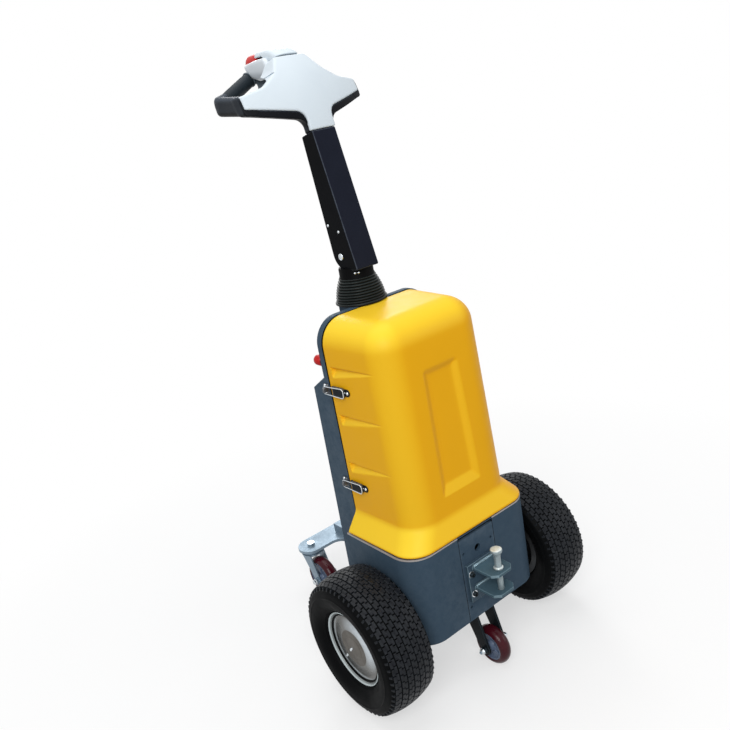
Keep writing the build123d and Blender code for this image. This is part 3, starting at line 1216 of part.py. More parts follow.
with BuildPart() as kingpins:
    for name, side in SIDES:
        place = (side * CASTER_X, AXLE_Y + BAR_Y)
        with BuildSketch(Plane.XY.offset(CROWN_BOTTOM - BOLT_HEAD_HEIGHT - CASTER_GAP)):
            with Locations(place):
                RegularPolygon(BOLT_HEAD_RADIUS, 6)
        extrude(amount=BOLT_HEAD_HEIGHT)
        with BuildSketch(Plane.XY.offset(CROWN_BOTTOM - CASTER_GAP)):
            with Locations(place):
                Circle(KINGPIN_RADIUS)
        extrude(amount=BAR_BOTTOM + BAR_THICKNESS - CROWN_BOTTOM + CASTER_GAP)
        with BuildSketch(Plane.XY.offset(BAR_BOTTOM + BAR_THICKNESS)):
            with Locations(place):
                RegularPolygon(KINGPIN_NUT_RADIUS, 6)
        extrude(amount=KINGPIN_NUT_HEIGHT)
save(kingpins.part, "kingpins")

for name, side in SIDES:
    swivel = (side * CASTER_X, AXLE_Y + BAR_Y)
    axle = (side * CASTER_X, AXLE_Y + BAR_Y - CASTER_TRAIL, CASTER_RADIUS)
    small_wheel(f"caster_{name}", axle, CASTER_RADIUS, CASTER_WIDTH)
    with BuildPart() as fork:
        inner = CASTER_FORK_INNER
        outer = inner + CASTER_FORK_THICKNESS
        with BuildSketch(Plane.XY.offset(CROWN_BOTTOM)):
            with Locations(swivel):
                Circle(CASTER_CROWN_RADIUS)
        extrude(amount=CASTER_CROWN)
        with BuildSketch(Plane.XY.offset(CROWN_TOP)):
            with Locations(swivel):
                Circle(CASTER_CROWN_RADIUS - RACE_STEP)
        extrude(amount=RACE_HEIGHT)
        with BuildSketch(side_plane(swivel[0])):
            Polygon(
                (swivel[1] + CASTER_ARM_ROOT, CROWN_TOP),
                (swivel[1] - CASTER_ARM_ROOT, CROWN_TOP),
                (axle[1] - CASTER_ARM_END, axle[2]),
                (axle[1] + CASTER_ARM_END, axle[2]),
                align=None,
            )
            with Locations((axle[1], axle[2])):
                Circle(CASTER_ARM_END)
        extrude(amount=outer, both=True)
        with BuildSketch(side_plane(swivel[0])):
            with Locations((swivel[1], CROWN_BOTTOM / 2)):
                Rectangle(4 * CASTER_RADIUS, CROWN_BOTTOM)
        extrude(amount=inner, both=True, mode=Mode.SUBTRACT)
        # axle bolt across the arms
        with BuildSketch(side_plane(swivel[0])):
            with Locations((axle[1], axle[2])):
                Circle(WHEEL_BOLT_RADIUS)
        extrude(amount=outer, both=True)
        for end in (-1, 1):
            with BuildSketch(side_plane(swivel[0] + end * outer)):
                with Locations((axle[1], axle[2])):
                    RegularPolygon(BOLT_HEAD_RADIUS, 6)
            extrude(amount=end * BOLT_HEAD_HEIGHT)
        # kingpin bore
        with BuildSketch(Plane.XY.offset(CROWN_BOTTOM)):
            with Locations(swivel):
                Circle(KINGPIN_RADIUS + RUNNING_FIT)
        extrude(amount=CASTER_CROWN + RACE_HEIGHT, mode=Mode.SUBTRACT)
    save(fork.part, f"caster_{name}_fork")
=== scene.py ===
"""Looks of the electric tow tug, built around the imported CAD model.

Shapes are worked out in millimetres and written in metres. +Z is up, the clevis faces -Y.
"""

from math import acos, asin, atan2, cos, hypot, pi, radians, sin, sqrt, tan

import bmesh
import bpy
import numpy as np
from mathutils import Matrix, Vector


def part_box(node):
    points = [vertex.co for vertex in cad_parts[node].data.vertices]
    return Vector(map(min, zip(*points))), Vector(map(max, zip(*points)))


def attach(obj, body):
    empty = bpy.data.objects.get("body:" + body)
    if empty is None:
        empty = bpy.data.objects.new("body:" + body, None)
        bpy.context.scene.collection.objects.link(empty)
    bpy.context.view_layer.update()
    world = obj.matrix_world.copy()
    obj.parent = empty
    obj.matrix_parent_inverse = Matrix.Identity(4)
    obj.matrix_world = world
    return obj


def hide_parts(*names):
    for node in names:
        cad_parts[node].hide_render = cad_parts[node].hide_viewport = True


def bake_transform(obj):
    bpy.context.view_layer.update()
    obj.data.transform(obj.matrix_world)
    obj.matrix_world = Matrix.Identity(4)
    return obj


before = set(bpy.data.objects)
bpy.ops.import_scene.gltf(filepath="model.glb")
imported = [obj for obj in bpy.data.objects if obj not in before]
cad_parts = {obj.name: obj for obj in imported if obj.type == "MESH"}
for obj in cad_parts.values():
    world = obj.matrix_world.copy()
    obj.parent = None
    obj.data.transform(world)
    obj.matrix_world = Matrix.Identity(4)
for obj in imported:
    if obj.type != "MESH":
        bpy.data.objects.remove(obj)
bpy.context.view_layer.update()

MM = 0.001
SIDES = (("left", 1), ("right", -1))
AXLE_Y = -153


def box_mm(node):
    """A CAD node's lowest and highest corners, in millimetres."""
    low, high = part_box(node)
    return np.array(low) / MM, np.array(high) / MM


def middle_mm(node):
    return sum(box_mm(node)) / 2


def srgb(colour):
    """A colour given in sRGB bytes, as the linear RGBA that shaders take."""
    channels = [c / 255 for c in colour]
    return tuple(c / 12.92 if c <= 0.04045 else ((c + 0.055) / 1.055) ** 2.4 for c in channels) + (1,)


# ==== Materials ==================================================================================
class Nodes:
    """Short way to add linked nodes to a material or world."""

    def __init__(self, owner):
        owner.use_nodes = True
        self.owner = owner
        self.tree = owner.node_tree
        self.shader = self.tree.nodes.get("Principled BSDF")

    def add(self, kind, inputs=(), **settings):
        node = self.tree.nodes.new("ShaderNode" + kind)
        for key, value in settings.items():
            setattr(node, key, value)
        for key, value in dict(inputs).items():
            self.put(node.inputs[key], value)
        return node

    def put(self, socket, value):
        if isinstance(value, bpy.types.NodeSocket):
            self.tree.links.new(value, socket)
        else:
            socket.default_value = value

    def shade(self, **inputs):
        """Set the shader's inputs, spaces in their names written as underscores."""
        for key, value in inputs.items():
            self.put(self.shader.inputs[key.replace("_", " ")], value)

    def noise(self, where, scale, detail=3, rough=0.55, distortion=0):
        inputs = {"Vector": where, "Scale": scale, "Detail": detail, "Roughness": rough,
                  "Distortion": distortion}
        return self.add("TexNoise", inputs).outputs["Fac"]

    def remap(self, value, low, high, to_low, to_high):
        inputs = {"Value": value, "From Min": low, "From Max": high, "To Min": to_low, "To Max": to_high}
        return self.add("MapRange", inputs).outputs["Result"]

    def maths(self, operation, a, b=0):
        return self.add("Math", {0: a, 1: b}, operation=operation).outputs[0]

    def mix(self, factor, a, b, blend="MIX"):
        return self.add("Mix", {0: factor, 6: a, 7: b}, data_type="RGBA", blend_type=blend).outputs[2]

    def bump(self, height, distance, normal=None):
        node = self.add("Bump", {"Height": height, "Distance": distance, "Strength": 1})
        if normal:
            self.put(node.inputs["Normal"], normal)
        return node.outputs["Normal"]

    def output(self, name, share, one, other):
        """Blend two shaders into the output."""
        blend = self.add("MixShader", {0: share, 1: one.outputs[0], 2: other.outputs[0]})
        self.put(self.tree.nodes[name].inputs["Surface"], blend.outputs[0])

    def geometry(self, output):
        return self.add("NewGeometry").outputs[output]

    def seen(self, path):
        """1 for rays straight from the camera, a mirror or glass."""
        return self.maths("MAXIMUM", path["Is Camera Ray"],
                          self.maths("MAXIMUM", path["Is Glossy Ray"], path["Is Transmission Ray"]))


def surface(name, colour, roughness, metallic=0, specular=0.3, mottle=(0.05, 9), tint=None,
            grain=(0.00005, 900), wave=None, rough_vary=0.08, spangle=None, edge=None, lit=None,
            chamfer=None, behind=None):
    """A finish with colour drift, uneven gloss and fine grain. Colours are in sRGB bytes.

    mottle, grain, wave and spangle are (amount, scale); tint, edge and chamfer are (colour, share), chamfer
    being a painted highlight along rounded edges, partly rubbed paint.
    lit is (colour, way, from, to): painted light, the colour leans to another on faces turned that way.
    behind is (y, colour), a second paint to the rear of y.
    """
    n = Nodes(bpy.data.materials.new(name))
    where = n.add("TexCoord").outputs["Object"]
    tone = n.remap(n.noise(where, mottle[1], 4), 0.3, 0.7, 1 - mottle[0], 1 + mottle[0])
    if spangle:
        cells = n.add("TexVoronoi", {"Vector": where, "Scale": spangle[1], "Randomness": 1})
        cell = n.add("SeparateColor", {0: cells.outputs["Color"]}).outputs[0]
        tone = n.maths("MULTIPLY", tone, n.remap(cell, 0, 1, 1 - spangle[0], 1 + spangle[0]))
    base = srgb(colour)
    if tint:
        patch = n.noise(where, mottle[1] * 1.7, 5, 0.6, 0.4)
        base = n.mix(n.remap(patch, 0.45, 0.75, 0, tint[1]), base, srgb(tint[0]))
    if lit:
        # painted light: faces turned that way take the lighter lit colour
        facing = n.add("VectorMath", {0: n.geometry("Normal"), 1: lit[1]},
                       operation="DOT_PRODUCT").outputs["Value"]
        base = n.mix(n.remap(facing, *lit[2:], 0, 1), base, srgb(lit[0]))
    if behind:
        place = n.add("SeparateXYZ", {0: n.geometry("Position")}).outputs[1]
        base = n.mix(n.remap(place, behind[0], behind[0] + 0.0004, 0, 1), base, srgb(behind[1]))
    if chamfer:
        # rounded edges between square faces are painted lighter in patches: mostly a painted highlight along
        # the bevels, partly rubbed paint
        turned = n.add("VectorMath", {0: n.geometry("Normal")}, operation="ABSOLUTE")
        parts = n.add("SeparateXYZ", {0: turned.outputs["Vector"]}).outputs
        square = n.maths("MAXIMUM", parts[0], n.maths("MAXIMUM", parts[1], parts[2]))
        wear_and_sheen_patches = n.remap(n.noise(where, 45, 4, 0.7), 0.3, 0.6, 0.4, 1)
        share = n.maths("MULTIPLY", n.remap(square, 0.97, 0.86, 0, chamfer[1]), wear_and_sheen_patches)
        base = n.mix(share, base, srgb(chamfer[0]))
    grey = n.add("CombineColor", {0: tone, 1: tone, 2: tone}).outputs[0]
    base = n.mix(1, base, grey, "MULTIPLY")
    if edge:
        broken = n.remap(n.noise(where, 60, 5, 0.7), 0.35, 0.6, 0.2, 1)
        worn = n.maths("MULTIPLY", n.remap(n.geometry("Pointiness"), 0.53, 0.62, 0, 1), broken)
        base = n.mix(n.maths("MULTIPLY", worn, edge[1]), base, srgb(edge[0]))
    gloss = n.noise(where, 26, 4, 0.6)
    normal = n.bump(n.noise(where, wave[1], 2), wave[0]) if wave else None
    normal = n.bump(n.noise(where, grain[1], 3, 0.6), grain[0], normal)
    n.shade(Base_Color=base, Metallic=metallic, Specular_IOR_Level=specular, Normal=normal,
            Roughness=n.remap(gloss, 0.3, 0.7, max(roughness - rough_vary, 0.03), roughness + rough_vary))
    return n.owner


PAINT = surface("powder_coat", (58, 76, 92), 0.52, specular=0.05, mottle=(0.05, 5),
                tint=((66, 82, 96), 0.12), grain=(0.00009, 620), edge=((120, 134, 146), 0.5))
# the chamfer colour paints the rounded edges lighter: a painted highlight, partly rubbed paint
HITCH_PAINT = surface("clevis_paint", (74, 98, 110), 0.44, specular=0.16, mottle=(0.1, 14),
                      tint=((58, 80, 92), 0.5), grain=(0.00008, 700), chamfer=((150, 176, 186), 0.6),
                      behind=(-0.2808, (60, 78, 92)))
# painted highlight: faces turned up and towards the key lamp lean to a paler lemon yellow
YELLOW = surface("yellow_moulding", (241, 175, 14), 0.4, specular=0.11, mottle=(0.01, 3.5),
                 grain=(0.00003, 480), wave=(0.0004, 7), rough_vary=0.05,
                 lit=((253, 216, 56), (-0.45, -0.4, 0.8), 0.42, 0.98))
# painted highlight: the upper faces of the folds lean to a lighter grey
BELLOWS_RUBBER = surface("bellows_rubber", (14, 15, 15), 0.36, specular=0.12, mottle=(0.1, 30),
                         grain=(0.00006, 800), lit=((44, 50, 49), (0, 0, 1), 0.15, 0.95))
RUBBER = surface("soft_rubber", (11, 11, 12), 0.48, specular=0.03, mottle=(0.1, 30), grain=(0.00008, 800))
TREAD = surface("tread_rubber", (20, 22, 27), 0.4, specular=0.12, mottle=(0.16, 26),
                tint=((34, 37, 40), 0.7), grain=(0.00016, 420), edge=((66, 70, 74), 0.35))
SIDEWALL = surface("sidewall_rubber", (11, 12, 13), 0.5, specular=0.03, mottle=(0.12, 18),
                   grain=(0.00012, 380))
# painted highlight: a pale crescent on the dish where it faces forwards and up
RIM_STEEL = surface("galvanised_rim", (112, 112, 110), 0.34, 0.85, mottle=(0.1, 12),
                    spangle=(0.05, 170), grain=(0.00004, 500), rough_vary=0.1,
                    lit=((196, 204, 210), (0, -0.75, 0.66), 0.02, 0.22))
LIP_STEEL = surface("rim_lip", (176, 186, 188), 0.3, 0.8, mottle=(0.08, 30), grain=(0.00004, 700))
DISC_STEEL = surface("wheel_disc_steel", (88, 84, 78), 0.42, 0.7, mottle=(0.1, 16),
                     tint=((104, 100, 94), 0.7), spangle=(0.04, 150), grain=(0.00005, 500),
                     rough_vary=0.1)
# painted light: the rim's inner wall is a paler grey with little metal, so it stays light in the lip's shade
WALL_STEEL = surface("rim_wall", (142, 148, 148), 0.4, 0.15, mottle=(0.1, 18), grain=(0.00004, 600))
ZINC = surface("zinc_plate", (132, 150, 164), 0.42, 0.55, 0.4, mottle=(0.08, 20),
               tint=((112, 132, 146), 0.5), spangle=(0.05, 260), grain=(0.00004, 700), rough_vary=0.09)
BRIGHT = surface("polished_steel", (206, 212, 216), 0.2, 1, mottle=(0.07, 40), grain=(0.00002, 900),
                 rough_vary=0.07)
CAST = surface("cast_iron", (64, 66, 68), 0.6, 0.5, 0.2, mottle=(0.15, 30), grain=(0.0003, 350))
BATTERY = surface("battery_case", (36, 38, 42), 0.5, specular=0.15, mottle=(0.06, 9), grain=(0.0001, 500))
# the chamfer colour is a painted highlight along the rounded edges
BLACK_METAL = surface("black_steel", (22, 26, 30), 0.42, specular=0.06, mottle=(0.14, 24),
                      grain=(0.00007, 650), chamfer=((70, 84, 92), 0.5))
# painted light: the front faces lean lighter than the sides, and the chamfer colour is a painted highlight
# along the rounded edges
ARM_BLACK = surface("tiller_black", (13, 14, 17), 0.42, specular=0.02, mottle=(0.1, 10),
                    grain=(0.0001, 560), chamfer=((84, 90, 102), 0.75),
                    lit=((30, 33, 44), (0, -0.95, 0.3), 0.5, 0.95))
BLACK_PLASTIC = surface("black_moulding", (17, 18, 20), 0.44, specular=0.05, mottle=(0.08, 16),
                        grain=(0.00009, 700))
GRIP = surface("grip_rubber_skin", (36, 44, 50), 0.44, specular=0.12, mottle=(0.06, 20),
               grain=(0.00012, 650))
# painted light: upper faces lean to a lighter grey
BACKING = surface("backing_moulding", (16, 18, 22), 0.44, specular=0.06, mottle=(0.07, 16),
                  grain=(0.0001, 640), lit=((66, 73, 82), (0, 0.6, 0.8), -0.2, 0.4))
WHITE = surface("white_moulding", (214, 224, 231), 0.38, specular=0.2, mottle=(0.012, 6),
                tint=((206, 217, 226), 0.4), grain=(0.00003, 520), wave=(0.0003, 10))
SILVER = surface("silver_moulding", (204, 211, 217), 0.32, 0.15, 0.35, mottle=(0.04, 24),
                 grain=(0.00004, 900))
GREY_MOULDING = surface("grey_moulding", (88, 98, 106), 0.42, specular=0.2, mottle=(0.06, 24),
                        grain=(0.00005, 800))
RED = surface("red_moulding", (190, 26, 24), 0.3, specular=0.25, mottle=(0.05, 30), grain=(0.00003, 700))
MAROON = surface("polyurethane_tread", (66, 14, 24), 0.2, specular=0.2, mottle=(0.1, 22),
                 tint=((54, 13, 22), 0.6), grain=(0.00003, 500))
CORE = surface("nylon_core", (98, 112, 136), 0.34, specular=0.25, mottle=(0.08, 20), grain=(0.00005, 600))
WELD = surface("weld_bead", (120, 142, 152), 0.4, 0.5, mottle=(0.2, 90), grain=(0.0003, 500),
               spangle=(0.1, 400))
BARE_EDGE = surface("bare_edge", (164, 160, 158), 0.4, 0.3, mottle=(0.08, 40), grain=(0.00004, 700))
LATCH_GREY = surface("latch_grey_steel", (58, 62, 68), 0.36, 0.4, mottle=(0.1, 40), grain=(0.00006, 800),
                     edge=((190, 194, 198), 0.6))
# painted highlight: faces turned up lean to a near-white
PIN_STEEL = surface("turned_pin_steel", (150, 164, 168), 0.3, 0.3, 0.4, mottle=(0.1, 60),
                    grain=(0.00003, 900), lit=((224, 232, 230), (0, 0, 1), 0.2, 0.95))
DIAL = surface("dial_face", (226, 226, 220), 0.4, mottle=(0.02, 9), grain=(0.00002, 900))


def glass(name):
    """Clear cover of the gauge."""
    n = Nodes(bpy.data.materials.new(name))
    smear = n.noise(n.add("TexCoord").outputs["Object"], 60)
    n.shade(Roughness=n.remap(smear, 0.3, 0.7, 0.02, 0.09), Transmission_Weight=1, IOR=1.45,
            Base_Color=n.mix(smear, srgb((236, 242, 242)), srgb((250, 252, 252))))
    return n.owner


GLASS = glass("gauge_glass")


# ==== Mesh helpers ===============================================================================
def unit(vector):
    return vector / np.linalg.norm(vector)


def rotation(z_axis, x_hint=(1, 0, 0)):
    """Axes (as columns) whose z runs along z_axis and whose x lies nearest x_hint."""
    z = unit(np.array(z_axis, float))
    x = np.array(x_hint, float)
    x = x - z * (x @ z)
    if np.linalg.norm(x) < 1e-6:
        x = np.array((0, 1, 0)) - z * z[1]
    x = unit(x)
    return np.stack([x, np.cross(z, x), z], axis=1)


def smoothstep(value, low=0, high=1):
    share = np.clip((np.asarray(value, float) - low) / (high - low), 0, 1)
    return share * share * (3 - 2 * share)


def arc(centre, radius, start, end, steps):
    """Points (two numbers each) along an arc, angles in degrees."""
    turns = [radians(start + (end - start) * i / steps) for i in range(steps + 1)]
    return [(centre[0] + radius * cos(t), centre[1] + radius * sin(t)) for t in turns]


def rounded(corners, radii, steps=4):
    """A closed polygon with its corners rounded."""
    points = []
    for i, radius in enumerate(radii):
        here = np.array(corners[i], float)
        before = np.array(corners[i - 1], float) - here
        after = np.array(corners[(i + 1) % len(corners)], float) - here
        longest = [0.49 * np.linalg.norm(run) for run in (before, after)]
        before, after = unit(before), unit(after)
        half = acos(max(-1, min(1, before @ after))) / 2
        reach = min(radius / tan(half), *longest)
        radius = reach * tan(half)
        if radius < 1e-6:
            points.append(tuple(here))
            continue
        middle = here + unit(before + after) * radius / sin(half)
        first, last = here + before * reach - middle, here + after * reach - middle
        turn = atan2(first[0] * last[1] - first[1] * last[0], first @ last)
        across = np.array((-first[1], first[0]))
        for k in range(steps + 1):
            points.append(tuple(middle + cos(turn * k / steps) * first + sin(turn * k / steps) * across))
    return points


def plate(start, end, half, radii, steps=4):
    """A rectangle with rounded corners, from start to end and as wide as half each side."""
    corners = [(start, -half), (end, -half), (end, half), (start, half)]
    return rounded(corners, np.broadcast_to(radii, 4), steps)


def inset(outline, distance):
    """A closed outline, counterclockwise, drawn in by a distance."""
    p = np.array(outline, float)
    ahead = np.roll(p, -1, axis=0) - p
    ahead /= np.linalg.norm(ahead, axis=1)[:, None]
    back = np.roll(ahead, 1, axis=0)
    normal = np.stack([-ahead[:, 1], ahead[:, 0]], axis=1)
    middle = normal + np.stack([-back[:, 1], back[:, 0]], axis=1)
    middle /= np.linalg.norm(middle, axis=1)[:, None]
    scale = 1 / np.clip((middle * normal).sum(axis=1), 0.35, 1)
    return p + middle * (distance * scale)[:, None]


def placed(rings, origin, axis, hint=(1, 0, 0)):
    """Rings drawn about z, moved to an origin and with z turned along an axis."""
    return np.array(rings) @ rotation(axis, hint).T + np.array(origin, float)


def put_in(name, data):
    """A new object in the scene."""
    piece = bpy.data.objects.new(name, data)
    bpy.context.scene.collection.objects.link(piece)
    return piece


def hang(name, mesh, body, replaced=()):
    """Put a mesh in the scene on its CAD body. With no body the caller does that."""
    piece = put_in(name, mesh)
    if body:
        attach(piece, body)
    if replaced:
        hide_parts(*replaced)
    return piece


def even_faces(piece, keep_sharp=False):
    """Keep wide flat faces evenly shaded beside rounded edges."""
    normals = piece.modifiers.new("normals", "WEIGHTED_NORMAL")
    normals.weight = 90
    normals.keep_sharp = keep_sharp


class Shape:
    """Vertices and faces in millimetres, gathered for one mesh with one or more materials."""

    def __init__(self, *materials):
        self.materials = materials
        self.verts, self.faces, self.slots = [], [], []

    def grid(self, points, wrap_rows=False, wrap_cols=False, slot=0):
        points = np.asarray(points, float)
        rows, cols = points.shape[:2]
        number = len(self.verts) + np.arange(rows * cols).reshape(rows, cols)
        number = np.pad(number, ((0, wrap_rows), (0, wrap_cols)), mode="wrap")
        corners = (number[:-1, :-1], number[:-1, 1:], number[1:, 1:], number[1:, :-1])
        faces = np.stack(corners, axis=-1).reshape(-1, 4).tolist()
        self.verts.extend(points.reshape(-1, 3).tolist())
        self.faces.extend(faces)
        self.slots.extend([slot] * len(faces))

    def cap(self, points, slot=0):
        first = len(self.verts)
        self.verts.extend(np.asarray(points, float).tolist())
        self.faces.append(list(range(first, first + len(points))))
        self.slots.append(slot)

    def block(self, rings, slot=0, both=False):
        """Skin closed rings and cap the last, or both ends."""
        self.grid(rings, wrap_cols=True, slot=slot)
        if both:
            self.cap(rings[0][::-1], slot)
        self.cap(rings[-1], slot)

    def lathe(self, profile, origin, axis, segments=48, slot=0, closed=False, hint=(1, 0, 0)):
        """Turn (radius, along) points about an axis. A closed profile makes a ring."""
        turn = np.linspace(0, 2 * pi, segments, endpoint=False)
        rings = [np.stack([r * np.cos(turn), r * np.sin(turn), np.full(segments, z)], axis=1)
                 for r, z in profile]
        self.grid(placed(rings, origin, axis, hint), closed, True, slot)

    def prism(self, outline, origin, axis, low, high, bevel=0.5, hint=(1, 0, 0), slot=0, steps=2):
        """Raise a counterclockwise outline between two heights, with rounded edges at both ends."""
        turns = np.radians(np.linspace(0, 90, steps + 1))
        ends = [(inset(outline, bevel * (1 - cos(t))), bevel * (1 - sin(t))) for t in turns]
        ends.append((inset(outline, bevel + 0.3), 0))
        rings = [(ring, low + short) for ring, short in ends[::-1]]
        rings += [(ring, high - short) for ring, short in ends]
        rings = [np.column_stack([ring, np.full(len(ring), z)]) for ring, z in rings]
        self.block(placed(rings, origin, axis, hint), slot, both=True)

    def tube(self, path, radius, sides=12, slot=0, closed=False):
        """A round bar along a path of points."""
        path = np.asarray(path, float)
        if closed:
            along = np.roll(path, -1, axis=0) - np.roll(path, 1, axis=0)
        else:
            along = np.gradient(path, axis=0)
        along /= np.linalg.norm(along, axis=1)[:, None]
        side = np.cross(along[0], (0, 0, 1))
        if np.linalg.norm(side) < 0.1:
            side = np.cross(along[0], (0, 1, 0))
        turn = np.linspace(0, 2 * pi, sides, endpoint=False)[:, None]
        rings = []
        for spot, run, reach in zip(path, along, np.broadcast_to(radius, len(path))):
            side = unit(side - run * (side @ run))
            rings.append(spot + reach * (np.cos(turn) * side + np.sin(turn) * np.cross(run, side)))
        if closed:
            self.grid(rings, True, True, slot)
        else:
            self.block(rings, slot, both=True)

    def hexagon(self, levels, origin, axis, slot=0, turn=0):
        """Six-sided shape, capped. Levels are (reach of the corners, most reach, height)."""
        degrees = np.arange(0, 360, 15)
        angle = np.radians(degrees + turn)
        rings = []
        for corner, most, z in levels:
            out = np.minimum(corner * cos(pi / 6) / np.cos(np.radians(degrees % 60 - 30)), most)
            rings.append(np.stack([out * np.cos(angle), out * np.sin(angle), np.full(len(angle), z)], axis=1))
        self.block(placed(rings, origin, axis), slot)

    def hex_bolt(self, origin, axis, across, height, washer, turn=0):
        """Hexagon head with a chamfered top, on a washer."""
        rim = washer - 0.4
        self.lathe([(0.3, 0), (rim, 0), (washer, 0.4), (washer, 1.4), (rim, 1.8), (0.3, 1.8)],
                   origin, axis, 28)
        corner = across / sqrt(3)
        levels = [(corner, corner * reach, 1.8 + height * share)
                  for share, reach in ((0, 1), (0.8, 1), (0.93, 0.95), (1, 0.84))]
        self.hexagon(levels, origin, axis, turn=turn)

    def socket_bolt(self, origin, axis, radius, height, slot=0):
        """Round head with a hexagon socket."""
        shares = ((1, 0), (1, 0.8), (0.93, 0.94), (0.84, 1), (0.62, 1))
        self.lathe([(radius * out, height * up) for out, up in shares], origin, axis, 24, slot)
        self.hexagon([(radius, radius * 0.62, height), (radius * 0.5, radius, height),
                      (radius * 0.48, radius, height * 0.35)], origin, axis, slot)

    def dome(self, origin, axis, radius, height, slot=0):
        """Rivet head."""
        profile = [(radius * cos(radians(a)), height * sin(radians(a))) for a in range(0, 90, 15)]
        self.lathe(profile + [(0.01, height)], origin, axis, 20, slot)

    def build(self, name, body, slot_name, replaced=(), crease=38, flat=False):
        """Make the mesh, merge its seams, and hang it on its CAD body. Flat keeps wide faces even."""
        mesh = bpy.data.meshes.new(name)
        mesh.from_pydata((np.array(self.verts) * MM).tolist(), [], self.faces)
        for material in self.materials:
            mesh.materials.append(material)
        mesh.polygons.foreach_set("material_index", self.slots)
        work = bmesh.new()
        work.from_mesh(mesh)
        bmesh.ops.remove_doubles(work, verts=work.verts, dist=0.002 * MM)
        bmesh.ops.dissolve_degenerate(work, edges=work.edges, dist=0.001 * MM)
        bmesh.ops.recalc_face_normals(work, faces=work.faces)
        work.to_mesh(mesh)
        work.free()
        mesh.shade_smooth()
        mesh.set_sharp_from_angle(angle=radians(crease))
        piece = hang(name, mesh, body, replaced)
        if flat:
            even_faces(piece, keep_sharp=True)
        return piece


def dress(node, material, bevel):
    """Give a CAD node its finish, and round its edges."""
    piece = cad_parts[node]
    mesh = piece.data
    mesh.materials.clear()
    mesh.materials.append(material)
    mesh.polygons.foreach_set("material_index", [0] * len(mesh.polygons))
    if "custom_normal" in mesh.attributes:
        mesh.attributes.remove(mesh.attributes["custom_normal"])
    piece.modifiers.new("weld", "WELD").merge_threshold = 0.01 * MM
    flat = piece.modifiers.new("flatten", "DECIMATE")
    flat.decimate_type = "DISSOLVE"
    flat.angle_limit = radians(0.5)
    mesh.shade_smooth()
    if bevel:
        edge = piece.modifiers.new("edges", "BEVEL")
        edge.width = bevel * MM
        edge.segments = 2
        edge.limit_method = "ANGLE"
        edge.angle_limit = radians(34)
        edge.miter_outer = "MITER_ARC"
        edge.use_clamp_overlap = True
        even_faces(piece)


# ==== Shapes from distances ======================================================================
def soft_min(a, b, blend):
    """Union of two solids given by distance, with a fillet between them."""
    share = np.clip(0.5 + 0.5 * (b - a) / blend, 0, 1)
    return b + (a - b) * share - blend * share * (1 - share)


def soft_max(a, b, blend):
    """Intersection of two solids given by distance, with a rounded edge."""
    return -soft_min(-a, -b, blend)


def outline_distance(corners, across, up):
    """Signed distance to a closed polygon, negative inside, on a grid of places."""
    corners = np.array(corners, float)
    best = np.full(np.broadcast(across, up).shape, 1e9)
    inside = np.zeros(best.shape, bool)
    for (ax, ay), (bx, by) in zip(corners, np.roll(corners, -1, axis=0)):
        run_x, run_y = bx - ax, by - ay
        share = np.clip(((across - ax) * run_x + (up - ay) * run_y) / (run_x ** 2 + run_y ** 2), 0, 1)
        best = np.minimum(best, np.hypot(across - ax - share * run_x, up - ay - share * run_y))
        if run_y:
            inside ^= ((ay > up) != (by > up)) & (across < ax + (up - ay) * run_x / run_y)
    return np.where(inside, -best, best)


def box_distance(offsets, halves, radius):
    """Signed distance to a box with rounded edges, from three offsets to its middle."""
    over = [np.abs(offset) - half + radius for offset, half in zip(offsets, halves)]
    outside = np.sqrt(sum(np.maximum(o, 0) ** 2 for o in over))
    return outside + np.minimum(np.maximum(np.maximum(over[0], over[1]), over[2]), 0) - radius


def bar_distance(places, start, end, radius):
    """Signed distance to a round bar with round ends."""
    start, run = np.array(start, float), np.array(end, float) - np.array(start, float)
    share = np.clip(sum((p - s) * r for p, s, r in zip(places, start, run)) / (run @ run), 0, 1)
    return np.sqrt(sum((p - s - share * r) ** 2 for p, s, r in zip(places, start, run))) - radius


def skin(field, origin, cell):
    """Vertices and quads over the zero surface of a field of distances, negative inside."""
    inside = field < 0
    shifts = [(i, j, k) for i in (0, 1) for j in (0, 1) for k in (0, 1)]
    window = {d: tuple(slice(o, n - 1 + o) for o, n in zip(d, field.shape)) for d in shifts}
    count = sum(inside[window[d]].astype(int) for d in shifts)
    mixed = (count > 0) & (count < 8)
    number = np.full(mixed.shape, -1)
    number[mixed] = np.arange(mixed.sum())
    total, crossings = np.zeros((mixed.sum(), 3)), np.zeros(mixed.sum())
    for d in shifts:
        for axis in range(3):
            if d[axis]:
                continue
            e = tuple(v + (n == axis) for n, v in enumerate(d))
            a, b = field[window[d]][mixed], field[window[e]][mixed]
            cut = (a < 0) != (b < 0)
            place = np.tile(np.array(d, float), (len(a), 1))
            place[cut, axis] = a[cut] / (a[cut] - b[cut])
            total[cut] += place[cut]
            crossings[cut] += 1
    verts = (np.argwhere(mixed) + total / crossings[:, None]) * cell + np.array(origin, float)
    quads = []
    for axis in range(3):
        other = [n for n in range(3) if n != axis]
        low = tuple(slice(0, -1) if n == axis else slice(1, -1) for n in range(3))
        high = tuple(slice(1, None) if n == axis else slice(1, -1) for n in range(3))
        for solid_low in (True, False):
            base = np.argwhere((inside[low] == solid_low) & (inside[high] != solid_low))
            base[:, other] += 1
            ring = []
            for back in ((0, 0), (1, 0), (1, 1), (0, 1)):
                cell_at = base.copy()
                cell_at[:, other] -= back
                ring.append(number[tuple(cell_at.T)])
            ring = np.stack(ring, axis=1)
            quads.append(ring if solid_low == (axis != 1) else ring[:, ::-1])
    return verts, np.concatenate(quads)


